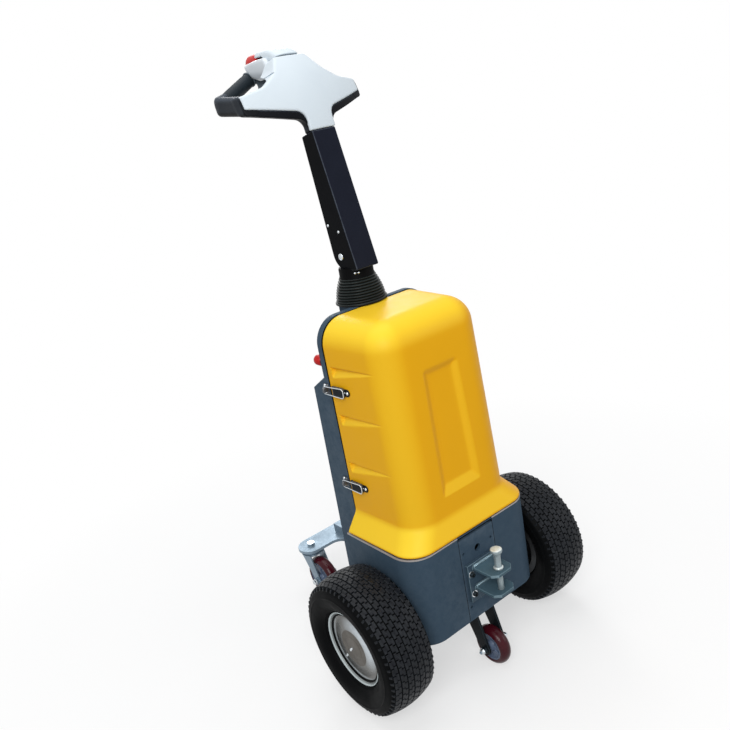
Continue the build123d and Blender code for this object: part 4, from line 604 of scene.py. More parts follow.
def smoothed(verts, quads):
    """Vertices drawn towards the mean of their neighbours, then pushed back, to keep the size."""
    pairs = np.concatenate([quads[:, [k, (k + 1) % 4]] for k in range(4)])
    pairs = np.concatenate([pairs, pairs[:, ::-1]])
    degree = np.bincount(pairs[:, 0], minlength=len(verts))[:, None]
    for step in (0.5, -0.52) * 3:
        total = [np.bincount(pairs[:, 0], verts[pairs[:, 1], k], len(verts)) for k in range(3)]
        verts = verts + step * (np.stack(total, axis=1) / degree - verts)
    return verts


# ==== Stage, light and camera ====================================================================
FLOOR_BOUNCE, WORLD_LEVEL = 0.5, 0.36
FULL_WHITE = {"Color": (1, 1, 1, 1), "Strength": 1}
LAMP_TARGET = Vector((0, -0.05, 0.55))
# name, place, size, power
LAMPS = (
    ("key", (-2.2, -2.4, 2.9), 2.4, 86),
    ("top", (0, 0.3, 3.6), 2.8, 38),
    ("fill", (2.6, -2.6, 1.6), 1.8, 14),
    ("back", (1.8, 3, 2.4), 1.8, 34),
)
# azimuth, elevation and roll, in degrees
CAMERA_TURNS = (-34.7648, 18.34998, -10.79642)
CAMERA_TARGET, CAMERA_REACH = Vector((0.37747, 0.57612, 0.48892)), 2.56736
CAMERA_LENS, SENSOR_WIDTH = 38.164932, 36


def set_floor():
    n = Nodes(bpy.data.materials.new("pale_floor"))
    where = n.add("TexCoord").outputs["Object"]
    path = n.add("LightPath").outputs
    # the floor throws less light up than it shows
    pale = n.remap(path["Is Diffuse Ray"], 0, 1, 0.95, FLOOR_BOUNCE)
    tone = n.maths("MULTIPLY", pale, n.remap(n.noise(where, 1.3, 4), 0.3, 0.7, 0.98, 1.02))
    n.shade(Base_Color=n.add("CombineColor", {0: tone, 1: tone, 2: tone}).outputs[0], Roughness=0.9,
            Specular_IOR_Level=0)
    # it pales to white away from the tug
    span = n.add("VectorMath", {0: where}, operation="LENGTH").outputs["Value"]
    share = n.maths("MULTIPLY", n.seen(path), n.remap(span, 0.45, 1.5, 0.55, 1))
    n.output("Material Output", share, n.shader, n.add("Emission", FULL_WHITE))
    mesh = bpy.data.meshes.new("floor")
    reach = 14
    mesh.from_pydata([(-reach, -reach, 0), (reach, -reach, 0), (reach, reach, 0), (-reach, reach, 0)], [],
                     [(0, 1, 2, 3)])
    mesh.materials.append(n.owner)
    put_in("floor", mesh)


def set_world():
    world = bpy.data.worlds.new("studio")
    bpy.context.scene.world = world
    n = Nodes(world)
    dim = n.tree.nodes["Background"]
    n.put(dim.inputs["Color"], (0.96, 0.98, 1, 1))
    n.put(dim.inputs["Strength"], WORLD_LEVEL)
    n.output("World Output", n.seen(n.add("LightPath").outputs), dim, n.add("Background", FULL_WHITE))


def set_lamps():
    for name, place, size, power in LAMPS:
        lamp = bpy.data.lights.new(name, "AREA")
        lamp.shape = "DISK"
        lamp.size = size
        lamp.energy = power
        holder = put_in(name, lamp)
        holder.location = place
        holder.rotation_euler = (LAMP_TARGET - Vector(place)).to_track_quat("-Z", "Y").to_euler()


def set_camera():
    azimuth, elevation, roll = (radians(turn) for turn in CAMERA_TURNS)
    back = Vector((sin(azimuth) * cos(elevation), -cos(azimuth) * cos(elevation), sin(elevation)))
    right = Vector((0, 0, 1)).cross(back).normalized()
    up = back.cross(right)
    right, up = right * cos(roll) + up * sin(roll), up * cos(roll) - right * sin(roll)
    camera = put_in("camera", bpy.data.cameras.new("camera"))
    camera.data.sensor_width = SENSOR_WIDTH
    camera.data.lens = CAMERA_LENS
    place = [middle + way * CAMERA_REACH for middle, way in zip(CAMERA_TARGET, back)]
    camera.matrix_world = Matrix.Translation(place) @ Matrix((right, up, back)).transposed().to_4x4()
    bpy.context.scene.camera = camera
    bpy.context.scene.view_settings.view_transform = "Standard"


set_floor()
set_world()
set_lamps()
set_camera()

# ==== Cover ======================================================================================
COVER_LOW, COVER_TOP = box_mm("cover")[0][2], box_mm("cover")[1][2]
COVER_REAR_Y = box_mm("cover")[1][1]
CREASE_Z = COVER_LOW + 47
# height, rear half width, front half width, front, corner radius
COVER_ROWS = (
    (COVER_LOW, 195, 191, AXLE_Y - 125, 62),
    (CREASE_Z, 158.5, 151, AXLE_Y - 102, 64),
    (COVER_TOP, 157, 143, AXLE_Y - 84, 64),
)
# the top edge is rounded by COVER_EDGE, and the foot turns in by COVER_CURL
COVER_EDGE, COVER_CURL, COVER_WALL = 60, 8, 3.4
NOTCH_TOPS = tuple(COVER_TOP - drop for drop in (100, 214, 332))
NOTCH_REAR_Y, NOTCH_FRONT_Y = COVER_REAR_Y - 14, AXLE_Y - 60
NOTCH_DEEP, NOTCH_LEDGE, NOTCH_TALL = 13, 8, 27
RECESS_TOP, RECESS_FOOT = COVER_TOP - 120, CREASE_Z + 48
RECESS_DEEP, RECESS_CORNER = 8, 9
# Where the mesh lines run, close together where the shape turns: forwards from the rear edge, as shares
# of the recess's half width, and up from the tops of the notches and from the recess's foot and top.
SIDE_STEPS = (1.6, 2.1, 3.2, 5, 7.5, 10, 11.8, 12.8, 13.7, 14.6, 15.6, 17, 19, 22, 26)
RECESS_SHARES = (1.25, 1.12, 1.08, 1.04, 1, 0.96, 0.92, 0.88, 0.84, 0.8, 0.76, 0.72, 0.66, 0.5, 0.33,
                 0.16, 0)
NOTCH_STEPS = (6, 3, 1.5, 0.5, -0.4, -1.2, -2, -2.8, -3.6, -4.4, -5.2, -6, -6.8, -7.5, -8, -9, -11, -14,
               -17, -20, -23, -25.5, -27, -29)
FOOT_STEPS = (-4, -2, 0, 1.5, 3, 5, 8, 11, 14, 17, 20, 22, 24, 26, 29)
TOP_STEPS = (6, 4, 2, 0, -2, -4, -6, -8, -10, -12, -14, -17, -21)
# points of an outline that lie across the front
FRONT_POINTS = 3 + len(RECESS_SHARES)


def cover_row(height):
    """Outline sizes at a height, with the crease above the skirt softened."""
    heights, *sizes = zip(*COVER_ROWS)
    return [np.interp(height + np.linspace(-6, 6, 7), heights, size).mean() for size in sizes]


def side_x(y, height):
    """Half width between the cover's flat sides at a place."""
    rear_half, front_half, front, _ = cover_row(height)
    return rear_half + (front_half - rear_half) * (COVER_REAR_Y - y) / (COVER_REAR_Y - front)


def recess_edge(height):
    """Half width of the front's recess, which narrows upwards."""
    return 56 - 7.5 * min(max((height - RECESS_FOOT) / (RECESS_TOP - RECESS_FOOT), -0.3), 1.3)


def cover_outline(height, drawn_in):
    """Half of the plan outline, from the rear of the side round to the middle of the front."""
    rear_half, front_half, front, corner = cover_row(height)
    rear = np.array((rear_half - drawn_in, COVER_REAR_Y))
    front += drawn_in
    corner = max(corner - drawn_in, 2)
    turn = rounded([rear, (front_half - drawn_in, front), (0, front)], [0, corner, 0], 16)[1:-1]
    length = COVER_REAR_Y - turn[0][1]
    steps = [*SIDE_STEPS, *np.linspace(30, length, 22)]
    edge, end = recess_edge(height), turn[-1][0]
    front_x = [end + (1.25 * edge - end) * k / 4 for k in range(1, 4)] + [edge * s for s in RECESS_SHARES]
    return np.array([rear + (turn[0] - rear) * step / length for step in steps] + turn[1:]
                    + [(x, front) for x in front_x])


def notch_depth(y, z):
    """How far the side is pressed in at a place: a short overhang at the top, then a slope back out."""
    share = np.clip((y - NOTCH_FRONT_Y) / (NOTCH_REAR_Y - NOTCH_FRONT_Y), 0, 1)
    share = share * smoothstep(NOTCH_REAR_Y + 1.6 - y, 0, 4.2)
    depth = 0
    for top in NOTCH_TOPS:
        down = (top - z) / np.maximum(share, 1e-3)
        inward = np.clip(down / NOTCH_LEDGE, 0, 1) ** 1.3
        outward = np.clip((NOTCH_TALL - down) / (NOTCH_TALL - NOTCH_LEDGE), 0, 1) ** 1.15
        depth = np.maximum(depth, NOTCH_DEEP * share * np.minimum(inward, outward))
    return depth


def recess_depth(x, z):
    """How far the front is pressed in: steep sides, a sloping sill."""
    to_side, to_end = recess_edge(z) - np.abs(x), min(RECESS_TOP - z, z - RECESS_FOOT)
    inner = np.minimum(to_side, to_end)
    if to_end < RECESS_CORNER:
        curved = RECESS_CORNER - np.hypot(RECESS_CORNER - to_side, RECESS_CORNER - to_end)
        inner = np.where(to_side < RECESS_CORNER, curved, inner)
    sill = (z - RECESS_FOOT) / 24
    if sill > 0.9:
        sill = 1 - max(1.1 - sill, 0) ** 2 / 0.4
    return RECESS_DEEP * np.minimum(smoothstep(inner, -4, 17), min(max(sill, 0), 1))


def cover_heights(low, high):
    """Heights of the mesh rows between the foot's curl and the rounded top."""
    heights = {low, high, *np.arange(low, high, 9), *(CREASE_Z + step for step in range(-14, 16, 3))}
    heights.update(top + step for top in NOTCH_TOPS for step in NOTCH_STEPS)
    heights.update(RECESS_FOOT + step for step in FOOT_STEPS)
    heights.update(RECESS_TOP + step for step in TOP_STEPS)
    kept = [low]
    for height in sorted(heights):
        if 0.25 < height - kept[-1] and height <= high:
            kept.append(height)
    return kept


def build_cover():
    low, high = COVER_LOW + COVER_CURL, COVER_TOP - COVER_EDGE
    # height, how far the outline is drawn in
    curl, top = np.radians(np.linspace(-75, -8, 6)), np.radians(range(5, 95, 5))
    rows = [(low + COVER_CURL * sin(t), COVER_CURL * (1 - cos(t))) for t in curl]
    rows += [(height, 0) for height in cover_heights(low, high)]
    rows += [(high + COVER_EDGE * sin(t), COVER_EDGE * (1 - cos(t))) for t in top]
    halves = []
    for height, drawn_in in rows:
        x, y = cover_outline(height, drawn_in).T
        cut = notch_depth(y, height)
        x = np.where(cut > 0.01, np.minimum(x, side_x(y, height) - drawn_in - cut), x)
        y[-FRONT_POINTS:] += recess_depth(x[-FRONT_POINTS:], height)
        halves.append(np.stack([x, y, np.full(len(x), height)], axis=1))
    last = halves[-1]
    pulled = np.maximum(last[:, 1], last[:, 1].min() + 60)
    for share in (0.08, 0.25, 0.5, 0.75, 1):
        row = last.copy()
        row[:, 0] *= 1 - share
        row[:, 1] += (pulled - row[:, 1]) * share
        halves.append(row)
    halves = np.array(halves)
    mirrored = halves[:, -2::-1] * (-1, 1, 1)
    shape = Shape(YELLOW)
    shape.grid(np.concatenate([halves, mirrored], axis=1))
    cover = shape.build("cover_moulding", "chassis", "yellow_shell", ("cover",), crease=50)
    wall = cover.modifiers.new("wall", "SOLIDIFY")
    wall.thickness = COVER_WALL * MM
    wall.offset = -1


build_cover()

# ==== Drive wheels ===============================================================================
# the wheels' middles lie this far out
WHEEL_X = 260
TYRE_RADIUS, CROWN_DROP, SHOULDER_X = 165, 9, 56
TREAD_DEPTH = 4.5
TREAD_TURNS, TREAD_LANES = 58, 7
CROWN_RADIUS = (SHOULDER_X ** 2 + CROWN_DROP ** 2) / (2 * CROWN_DROP)
CROWN_EDGE = CROWN_RADIUS * asin(SHOULDER_X / CROWN_RADIUS)
# the wall is an arc through the shoulder, the widest point and the bead
WALL_STEPS = 30
SHOULDER = np.array((SHOULDER_X, TYRE_RADIUS - CROWN_DROP))
BEAD = np.array((44, 90))
WIDEST = np.array((65, (BEAD[1] + SHOULDER[1]) / 2))
CHORDS = np.array((WIDEST - SHOULDER, BEAD - SHOULDER))
WALL_CENTRE = SHOULDER + np.linalg.solve(CHORDS, (CHORDS ** 2).sum(axis=1) / 2)


def crown(across, sink=0):
    """Point (x, radius) on the tread's curve at a distance across it from the middle."""
    angle = across / CROWN_RADIUS
    return ((CROWN_RADIUS - sink) * sin(angle),
            TYRE_RADIUS - CROWN_RADIUS + (CROWN_RADIUS - sink) * cos(angle))


def sidewall(step, proud=0):
    """Point (x, radius) on the wall, from the shoulder (step 0) down to the bead (WALL_STEPS)."""
    begin, end = (atan2(*(place - WALL_CENTRE)[::-1]) for place in (SHOULDER, BEAD))
    angle = begin + (end - begin) * step / WALL_STEPS
    radius = np.linalg.norm(SHOULDER - WALL_CENTRE) + proud
    return WALL_CENTRE + radius * np.array((cos(angle), sin(angle)))


def tyre_profile():
    """Half of the carcass: the tread's floor, the shoulder and the wall with its ridges."""
    half = [crown(CROWN_EDGE * k / 10, TREAD_DEPTH) for k in range(10)]
    for k in range(WALL_STEPS + 1):
        share = k / WALL_STEPS
        sink = -TREAD_DEPTH * (1 - smoothstep(share, 0, 0.16))
        ridge = 1.1 * sum(max(0, 1 - abs(share - place) / 0.035) for place in (0.33, 0.86))
        half.append(sidewall(k, sink + ridge))
    return half + [(43, 86), (42, 79)]


def rubber_blocks(shape, centre, shift, rings):
    """Stand a block in each turn of the tread. Rings hold (x, radius, along the tread)."""
    for turn in range(TREAD_TURNS):
        stood = []
        for x, radius, along in (np.transpose(ring) for ring in rings):
            angle = (turn + shift) / TREAD_TURNS * 2 * pi + along / TYRE_RADIUS
            stood.append(centre + np.stack([x, radius * np.sin(angle), radius * np.cos(angle)], axis=1))
        shape.block(stood, 1)


def build_tyre(name, centre):
    half = tyre_profile()
    profile = [(r, -x) for x, r in half[:0:-1]] + [(r, x) for x, r in half]
    shape = Shape(SIDEWALL, TREAD)
    shape.lathe(profile, centre, (1, 0, 0), 144, closed=True, hint=(0, 0, 1))
    lane = 2 * (CROWN_EDGE - 1) / TREAD_LANES
    long, wide = pi * TYRE_RADIUS / TREAD_TURNS - 1.5, lane / 2 - 1.3
    for row in range(TREAD_LANES):
        across = -CROWN_EDGE + 1 + lane * (row + 0.5)
        jog = 2.3 if row % 2 else -2.3
        outline = [(-long + jog, -wide), (long + jog, -wide), (long + jog, -0.4), (long - jog, 0.4),
                   (long - jog, wide), (-long - jog, wide), (-long - jog, 0.4), (-long + jog, -0.4)]
        levels = ((outline, TREAD_DEPTH + 0.4), (outline, 0.7), (inset(outline, 0.7), 0))
        rings = [[(*crown(across + v, sink), u) for u, v in ring] for ring, sink in levels]
        rubber_blocks(shape, centre, 0.5 * (row % 2), rings)
    # shoulder lugs run a little way down the wall
    for end in (-1, 1):
        rings = []
        for proud, shrink in ((-TREAD_DEPTH - 0.4, 0), (-0.3, 0.4), (0.2, 1.2)):
            down = [(k * 0.75 + 0.4 + shrink * 0.12, shrink - 3.1) for k in range(6)]
            down += [(k * 0.75 + 0.4 - shrink * 0.12, 3.1 - shrink) for k in range(5, -1, -1)]
            ring = []
            for step, along in down:
                fade = max(0, 1 - step / 4.6)
                x, radius = sidewall(step, proud * fade - (1 - fade) * 1.2)
                ring.append((end * x, radius, along))
            rings.append(ring)
        rubber_blocks(shape, centre, 0.25, rings)
    shape.build(f"tyre_{name}_treaded", f"drive_wheel_{name}", "tyre", (f"tyre_{name}",), crease=34)


def build_rim(name, centre, side):
    barrel = [(74, -46), (83, -46.5), (88.5, -47.5)] + arc((88.2, -46), 1.8, -60, 60, 4)
    barrel += [(84.5, -43), (79.5, -40), (78, -34), (77.6, 0), (78, 34), (79.5, 40), (85.5, 43)]
    lip = [(85.5, 43)] + arc((88.2, 46.2), 1.8, -60, 100, 6) + [(86.6, 47.2), (85.2, 45.6)]
    wall = [(85.2, 45.6), (84.4, 44.2), (82.8, 41.8), (80.4, 39.6), (77.4, 38.2)]
    dish = [(77.4, 38.2), (74.2, 37.5), (71, 37.6), (66, 38.5), (60, 39.8), (54, 41.2), (48, 42.5),
            (43.5, 43.2)]
    disc = [(43.5, 43.2), (40, 43.5), (34, 43.6), (29, 43.6)]
    back = [(29, 43.6), (26, 31), (49, 30.4), (66, 26), (73.6, 25), (74.2, 20), (74, -20), (74, -46)]
    shape = Shape(RIM_STEEL, LIP_STEEL, DISC_STEEL, CAST, WALL_STEEL)
    # painted shade: the barrel and the back take dark cast iron for the shade inside the tyre; the wall's
    # paler grey is painted light
    for profile, slot in ((barrel, 3), (lip, 1), (wall, 4), (dish, 0), (disc, 2), (back, 3)):
        shape.lathe(profile, centre, (side, 0, 0), 112, slot)
    shape.build(f"rim_{name}_pressed", f"drive_wheel_{name}", "rim_metal", (f"rim_{name}",), crease=40)


def build_hub(name, centre, side):
    shape = Shape(DISC_STEEL, BRIGHT, CAST)
    cap = [(24, 20), (29.4, 38), (29.6, 43.3), (28.8, 43.8), (24, 44), (12, 44.2), (0.01, 44.3)]
    shape.lathe(cap, centre, (side, 0, 0), 72)
    shape.lathe([(27, 20), (27, -50), (13, -50), (12.4, -110), (0.01, -110)], centre, (side, 0, 0), 48, 2)
    for out, back, up in ((44.1, 9.3, -7), (41, 37.6, -39.4)):
        shape.prism(plate(-8, 8, 2.7, 2.6), centre + (side * out, back, up), (side, 0, 0), -2, 1.8, 0.9,
                    hint=(0, 0.66, -0.75), slot=1)
    shape.build(f"hub_{name}_cap", f"drive_wheel_{name}", "hub_metal", (f"hub_{name}",))


for side_name, side_sign in SIDES:
    wheel = np.array((side_sign * WHEEL_X, AXLE_Y, TYRE_RADIUS))
    build_tyre(side_name, wheel)
    build_rim(side_name, wheel, side_sign)
    build_hub(side_name, wheel, side_sign)


# ==== Small wheels ===============================================================================
def build_small_wheel(name, body):
    low, high = box_mm(f"{name}_tread")
    centre, radius, half = (low + high) / 2, (high[2] - low[2]) / 2, (high[0] - low[0]) / 2
    inner, rim, boss = radius - 14, half - 1.5, half + 2.5
    tread = [(inner, 1.2 - half), (inner + 1.5, -half)]
    tread += [(radius - sink, along - half) for sink, along in (
        (10.5, 0), (8.6, 0.7), (6.2, 2.3), (3.9, 4.6), (2, 7.6), (0.7, 11.2), (0, half))]
    tread += [(r, -z) for r, z in tread[-2::-1]]
    shape = Shape(MAROON)
    shape.lathe(tread + [(inner - 0.4, rim), (inner - 0.4, -rim)], centre, (1, 0, 0), 96, closed=True)
    shape.build(f"{name}_tyre", body, "caster_tread", (f"{name}_tread",), crease=40)
    core = [(0.01, -boss), (10.5, -boss), (12.6, -boss + 0.8), (13.2, -rim + 4.5), (15, -rim + 6.5)]
    core += [(inner + out, along - rim) for out, along in (
        (-9, 6.5), (-5.5, 4), (-4.6, 0.8), (-3.6, 0), (-0.8, 0), (0.4, 0.8))]
    core += [(r, -z) for r, z in core[::-1]]
    shape = Shape(CORE)
    shape.lathe(core, centre, (1, 0, 0), 72)
    for angle in np.radians(range(30, 390, 60)):
        run = np.array((0, cos(angle), sin(angle)))
        for end in (5.6 - rim, rim - 5.6):
            spoke = [centre + run * out + (end, 0, 0) for out in (12, (inner + 7) / 2, inner - 5)]
            shape.tube(spoke, 1.7, 8)
    shape.build(f"{name}_hub", body, "caster_core", (f"{name}_core",))


build_small_wheel("front_wheel", "front_wheel")
for side_name, _ in SIDES:
    build_small_wheel(f"caster_{side_name}", f"caster_wheel_{side_name}")


# ==== Bellows ====================================================================================
def build_bellows():
    low, high = box_mm("bellows")
    base, top, foot, head = (high[0] - low[0]) / 2, 42, low[2], high[2]
    middle_y, folds = middle_mm("bellows")[1], 9
    # a skirt comes down over the flange
    profile = [(base - 2, foot - 4.5), (base + 3.2, foot - 4.5), (base + 3.4, foot - 1), (base + 2.2, foot)]
    reach = [base + 1 + (top - 1 - base) * (k / folds) ** 1.7 for k in range(folds + 1)]
    fold = ((0.1, 4.2), (0.22, 1.8), (0.38, 0.4), (0.56, 0), (0.72, 0.7), (0.86, 2.8), (1, 6.4))
    for k in range(folds):
        for share, sink in fold:
            profile.append((reach[k] + (reach[k + 1] - reach[k]) * share - sink,
                            foot + (head - foot) / folds * (k + share)))
    profile += [(top - 3.5, head - 0.4), (top - 5, head)]
    inner = [(r - 2.6, z) for r, z in profile[::-1]]
    shape = Shape(BELLOWS_RUBBER)
    shape.lathe(profile + inner, (0, middle_y, 0), (0, 0, 1), 96, closed=True)
    piece = shape.build("bellows_folds", None, "black_rubber", ("bellows",), crease=60)
    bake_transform(piece)


build_bellows()

# ==== Tiller head ================================================================================
# Places on the head are measured back and up from the arm's front top edge.
HEAD = np.array((0, box_mm("head_hub")[1][1] - 213, box_mm("tiller_arm")[1][2]))
FACE_RADIUS, FACE_MIDDLE_BACK, FACE_MIDDLE_UP = 317, 309.35, -51.46
WING_HALF, FACE_SWEEP = 152, 36
GRIP_INNER, GRIP_OUTER = np.array((58, 188, 125)), np.array((133, 175, 89))
GRIP_RADIUS = 16
# half of the front view: across, up
SHIELD_OUTLINE = rounded(
    [(-40, -34), (33, -34), (34, 41), (152.5, 65.5), (152.5, 92.5), (99, 104), (62, 129), (34, 173),
     (-40, 173)], [0, 0, 22, 2.5, 2.5, 30, 60, 8, 0], 8)
BACKING_OUTLINE = rounded(
    [(-40, -25), (32.6, -25), (33.4, 23), (156, 53), (156, 95), (142, 90), (100, 88), (60, 80), (-40, 80)],
    [0, 0, 22, 5, 4, 12, 20, 20, 0], 8)
# half of the view from above: across, back
WING_OUTLINE = rounded([(0, 30), (158, 30), (158, 197), (0, 197)], [0, 0, 38, 0], 8)
# side view: back, up
PADDLE_OUTLINE = rounded(
    [(203, 163), (158, 167), (112, 167), (97, 146), (103, 124), (150, 122), (174, 130), (192, 146)],
    [5, 30, 16, 14, 16, 20, 16, 6], 6)
# the seam between shield and cap drops to a point on the hub's side, where the paddle starts
SEAM_FRONT, SEAM_POINT, SEAM_REAR = (80, 163.5), (115, 152.5), (152, 176)
SLIT_FRONT, SLIT_REAR = (58, 129), (112, 114)


def face_depth(x, back, up):
    """How far a place lies behind the head's curved front face, about square to it."""
    rise = up - FACE_MIDDLE_UP
    fall = np.sqrt(np.maximum(FACE_RADIUS ** 2 - rise ** 2, 1))
    share = np.abs(x) / WING_HALF
    lean = FACE_SWEEP * 1.9 / WING_HALF * share ** 0.9
    depth = back - FACE_MIDDLE_BACK + fall - FACE_SWEEP * share ** 1.9
    return depth / np.sqrt(1 + (rise / fall) ** 2 + lean ** 2)


def above_neck(back, up):
    """Distance above the arm's sloping top end."""
    return (up * 46 + back * 11) / hypot(46, 11)


def above_line(back, up, start, end):
    """Signed distance from a line in the side view, positive above it when it runs to the rear."""
    run = np.array(end) - np.array(start)
    return ((up - start[1]) * run[0] - (back - start[0]) * run[1]) / np.linalg.norm(run)


def shield_field(x, back, up):
    across, depth = np.abs(x), face_depth(x, back, up)
    # behind its upper edge the shell turns back along the hub
    thick = 9 + 60 * smoothstep(up - 0.25 * across, 92, 122)
    rear = np.maximum(depth - thick, back - 110)
    seam = above_line(back, up, SEAM_FRONT, SEAM_POINT) + 1.8
    front = soft_max(outline_distance(SHIELD_OUTLINE, across, up), -depth, 5)
    body = soft_max(front, soft_max(rear, seam, 3), 3)
    # a slit runs back along each flank
    slit = np.maximum(np.abs(above_line(back, up, SLIT_FRONT, SLIT_REAR)) - 1.4, -5 - body)
    slit = np.maximum(np.maximum(slit, 38 - across), SLIT_FRONT[0] - back)
    return soft_max(np.maximum(body, -slit), 0.6 - above_neck(back, up), 1.5)


def cap_field(x, back, up):
    top = 183.5 + (back - 100) * 0.03
    body = soft_max(soft_max(np.abs(x) - 33, up - top, 16), -face_depth(x, back, up), 20)
    body = soft_max(body, back - 174, 7)
    front_seam = 1.7 - above_line(back, up, SEAM_FRONT, SEAM_POINT)
    rear_seam = 1.7 - above_line(back, up, SEAM_POINT, SEAM_REAR)
    under = np.minimum(np.maximum(front_seam, rear_seam), np.maximum(172 - up, SEAM_REAR[0] - 4 - back))
    return soft_max(body, under, 2.5)


def hub_field(x, back, up):
    core = box_distance((x, back - 127, up - 130), (31, 68, 41.5), 16)
    for side in (1, -1):
        run = unit(GRIP_OUTER - GRIP_INNER) * (side, 1, 1)
        inner = GRIP_INNER * (side, 1, 1)
        core = soft_min(core, bar_distance((x, back, up), inner - run * 50, inner - run * 10, 14.5), 10)
    return soft_max(core, 6 - face_depth(x, back, up), 4)


def backing_field(x, back, up):
    across, depth = np.abs(x), face_depth(x, back, up)
    web = soft_max(soft_max(outline_distance(BACKING_OUTLINE, across, up), 3 - depth, 3), depth - 36, 16)
    # leave the shield its place
    shield = np.maximum(outline_distance(SHIELD_OUTLINE, across, up) - 0.6, depth - 9.6)
    web = np.maximum(web, -shield)
    middle = 72 + 13 * np.clip((back - 62) / 135, 0, 1)
    wing = box_distance((across - 142, back - 60, up - middle), (16, 400, 20.5), 12)
    wing = soft_max(wing, outline_distance(WING_OUTLINE, across, back), 12)
    root = GRIP_OUTER + (GRIP_INNER - GRIP_OUTER) * 0.12
    wing = soft_min(wing, bar_distance((across, back, up), GRIP_OUTER, root, 16.6), 9)
    whole = soft_min(web, np.maximum(wing, 3 - depth), 2.5)
    return soft_max(whole, 0.6 - above_neck(back, up), 1.5)


def paddle_field(x, back, up):
    off = np.abs(x) - 41
    bulge = 4 * np.clip((up - 146) / 22, -1, 1) ** 2 * (off > 0)
    return soft_max(outline_distance(PADDLE_OUTLINE, back, up), np.abs(off) - 9.5 + bulge, 9)


def button_field(x, back, up):
    return box_distance((x, back - 200, up - 157.5), (29, 34.5, 27.5), 20)


def moulded(name, field_of, low, high, cell, material, replaced=()):
    """A smooth moulding on the tiller: the skin of a distance function over a box, measured from HEAD."""
    axes = [np.arange(a, b + cell, cell) for a, b in zip(HEAD + low, HEAD + high)]
    x, y, z = np.meshgrid(*axes, indexing="ij", sparse=True)
    field = np.array(field_of(x, y - HEAD[1], z - HEAD[2]))
    for axis in range(3):
        for end in (0, -1):
            edge = tuple(end if n == axis else slice(None) for n in range(3))
            field[edge] = np.maximum(field[edge], 0.01)
    verts, quads = skin(field, HEAD + low, cell)
    mesh = bpy.data.meshes.new(name)
    mesh.from_pydata((smoothed(verts, quads) * MM).tolist(), [], quads.tolist())
    mesh.materials.append(material)
    mesh.validate()
    mesh.shade_smooth()
    hang(name, mesh, "tiller", replaced)


def build_grip(name, side):
    inner, outer = (spot * (side, 1, 1) + HEAD for spot in (GRIP_INNER, GRIP_OUTER))
    run = unit(outer - inner)
    start = inner - run * 12
    length = np.linalg.norm(outer - start) - 8
    shape = Shape(GRIP, GREY_MOULDING)
    shape.lathe([(0.01, -3.4), (16.4, -3.4), (17.6, -2.6), (17.8, -0.6), (17.4, 0.4), (15, 0.6)],
                start, run, 56, 1)
    profile = [(15, 0.4), (15.8, 0.6), (GRIP_RADIUS, 1.4)]
    profile += [(GRIP_RADIUS + 0.5 * sin(pi * k / 12), 1.4 + (length - 2) * k / 12) for k in range(1, 13)]
    shape.lathe(profile + [(GRIP_RADIUS - 1, length), (0.01, length)], start, run, 56)
    shape.build(f"grip_{name}_sleeve", "tiller", "grip_rubber", (f"grip_{name}",))


moulded("head_shield", shield_field, (-162, -20, -36), (162, 118, 182), 1.7, WHITE,
        ("head_shell",))
moulded("head_cap", cap_field, (-40, 55, 140), (40, 198, 192), 1.3, WHITE)
moulded("head_backing", backing_field, (-162, -20, -36), (162, 204, 118), 1.9, BACKING,
        ("head_underside",))
moulded("head_hub_body", hub_field, (-74, 40, 84), (74, 218, 178), 1.6, GREY_MOULDING,
        ("head_hub",))
moulded("thumb_paddle_pair", paddle_field, (-56, 90, 116), (56, 210, 174), 1.3, SILVER,
        ("thumb_paddles",))
moulded("reverse_button", button_field, (-33, 160, 125), (33, 239, 189), 1.4, RED,
        ("belly_button",))
for side_name, side_sign in SIDES:
    build_grip(side_name, side_sign)


# ==== Tiller arm =================================================================================
def build_arm():
    low, high = box_mm("tiller_arm")
    corners = [(low[1], low[2] + 1.7), (low[1] + 78.6, low[2] - 1.3), (high[1], high[2] - 11),
               (high[1] - 46, high[2])]
    shape = Shape(ARM_BLACK)
    shape.prism(rounded(corners, [3.4, 38, 3.4, 3.4], 10), (0, 0, 0), (1, 0, 0), low[0], high[0], 3,
                hint=(0, 1, 0), steps=4)
    shape.build("tiller_arm_box", "tiller", "arm_black", ("tiller_arm",), crease=50, flat=True)

    fittings = Shape(BRIGHT)
    pivot_y, foot = middle_mm("bellows")[1], box_mm("bellows")[1][2]
    for side in (-1, 1):
        face = high[0] * side
        fittings.lathe([(0.01, 0.2), (7.6, 0.2), (8, 0.6), (7.4, 1.8), (4.6, 2.6), (4.2, 1.4), (0.01, 1.2)],
                       (face, 0, low[2] + 31), (side, 0, 0), 32)
        for y, z in ((28, 102), (-8, 88)):
            fittings.dome((face, y, low[2] + z), (side, 0, 0), 3.4, 1.8)
    for angle in np.radians((-131, -119)):
        run = np.array((cos(angle), sin(angle), 0))
        fittings.dome((0, pivot_y, low[2] - 6.5) + run * 40, run, 2.6, 1.6)
    fittings.build("tiller_fasteners", "tiller", "bright_metal")

    collar = Shape(RUBBER)
    profile = [(34, foot - 2.5), (40.5, foot - 2.5), (41.4, foot - 1.4), (41, foot + 1.6), (40, foot + 3),
               (39.8, low[2] + 1), (38.6, low[2] + 4), (34, low[2] + 5)]
    collar.lathe(profile, (0, pivot_y, 0), (0, 0, 1), 72, closed=True)
    collar.build("tiller_collar", "tiller", "black_rubber")


build_arm()


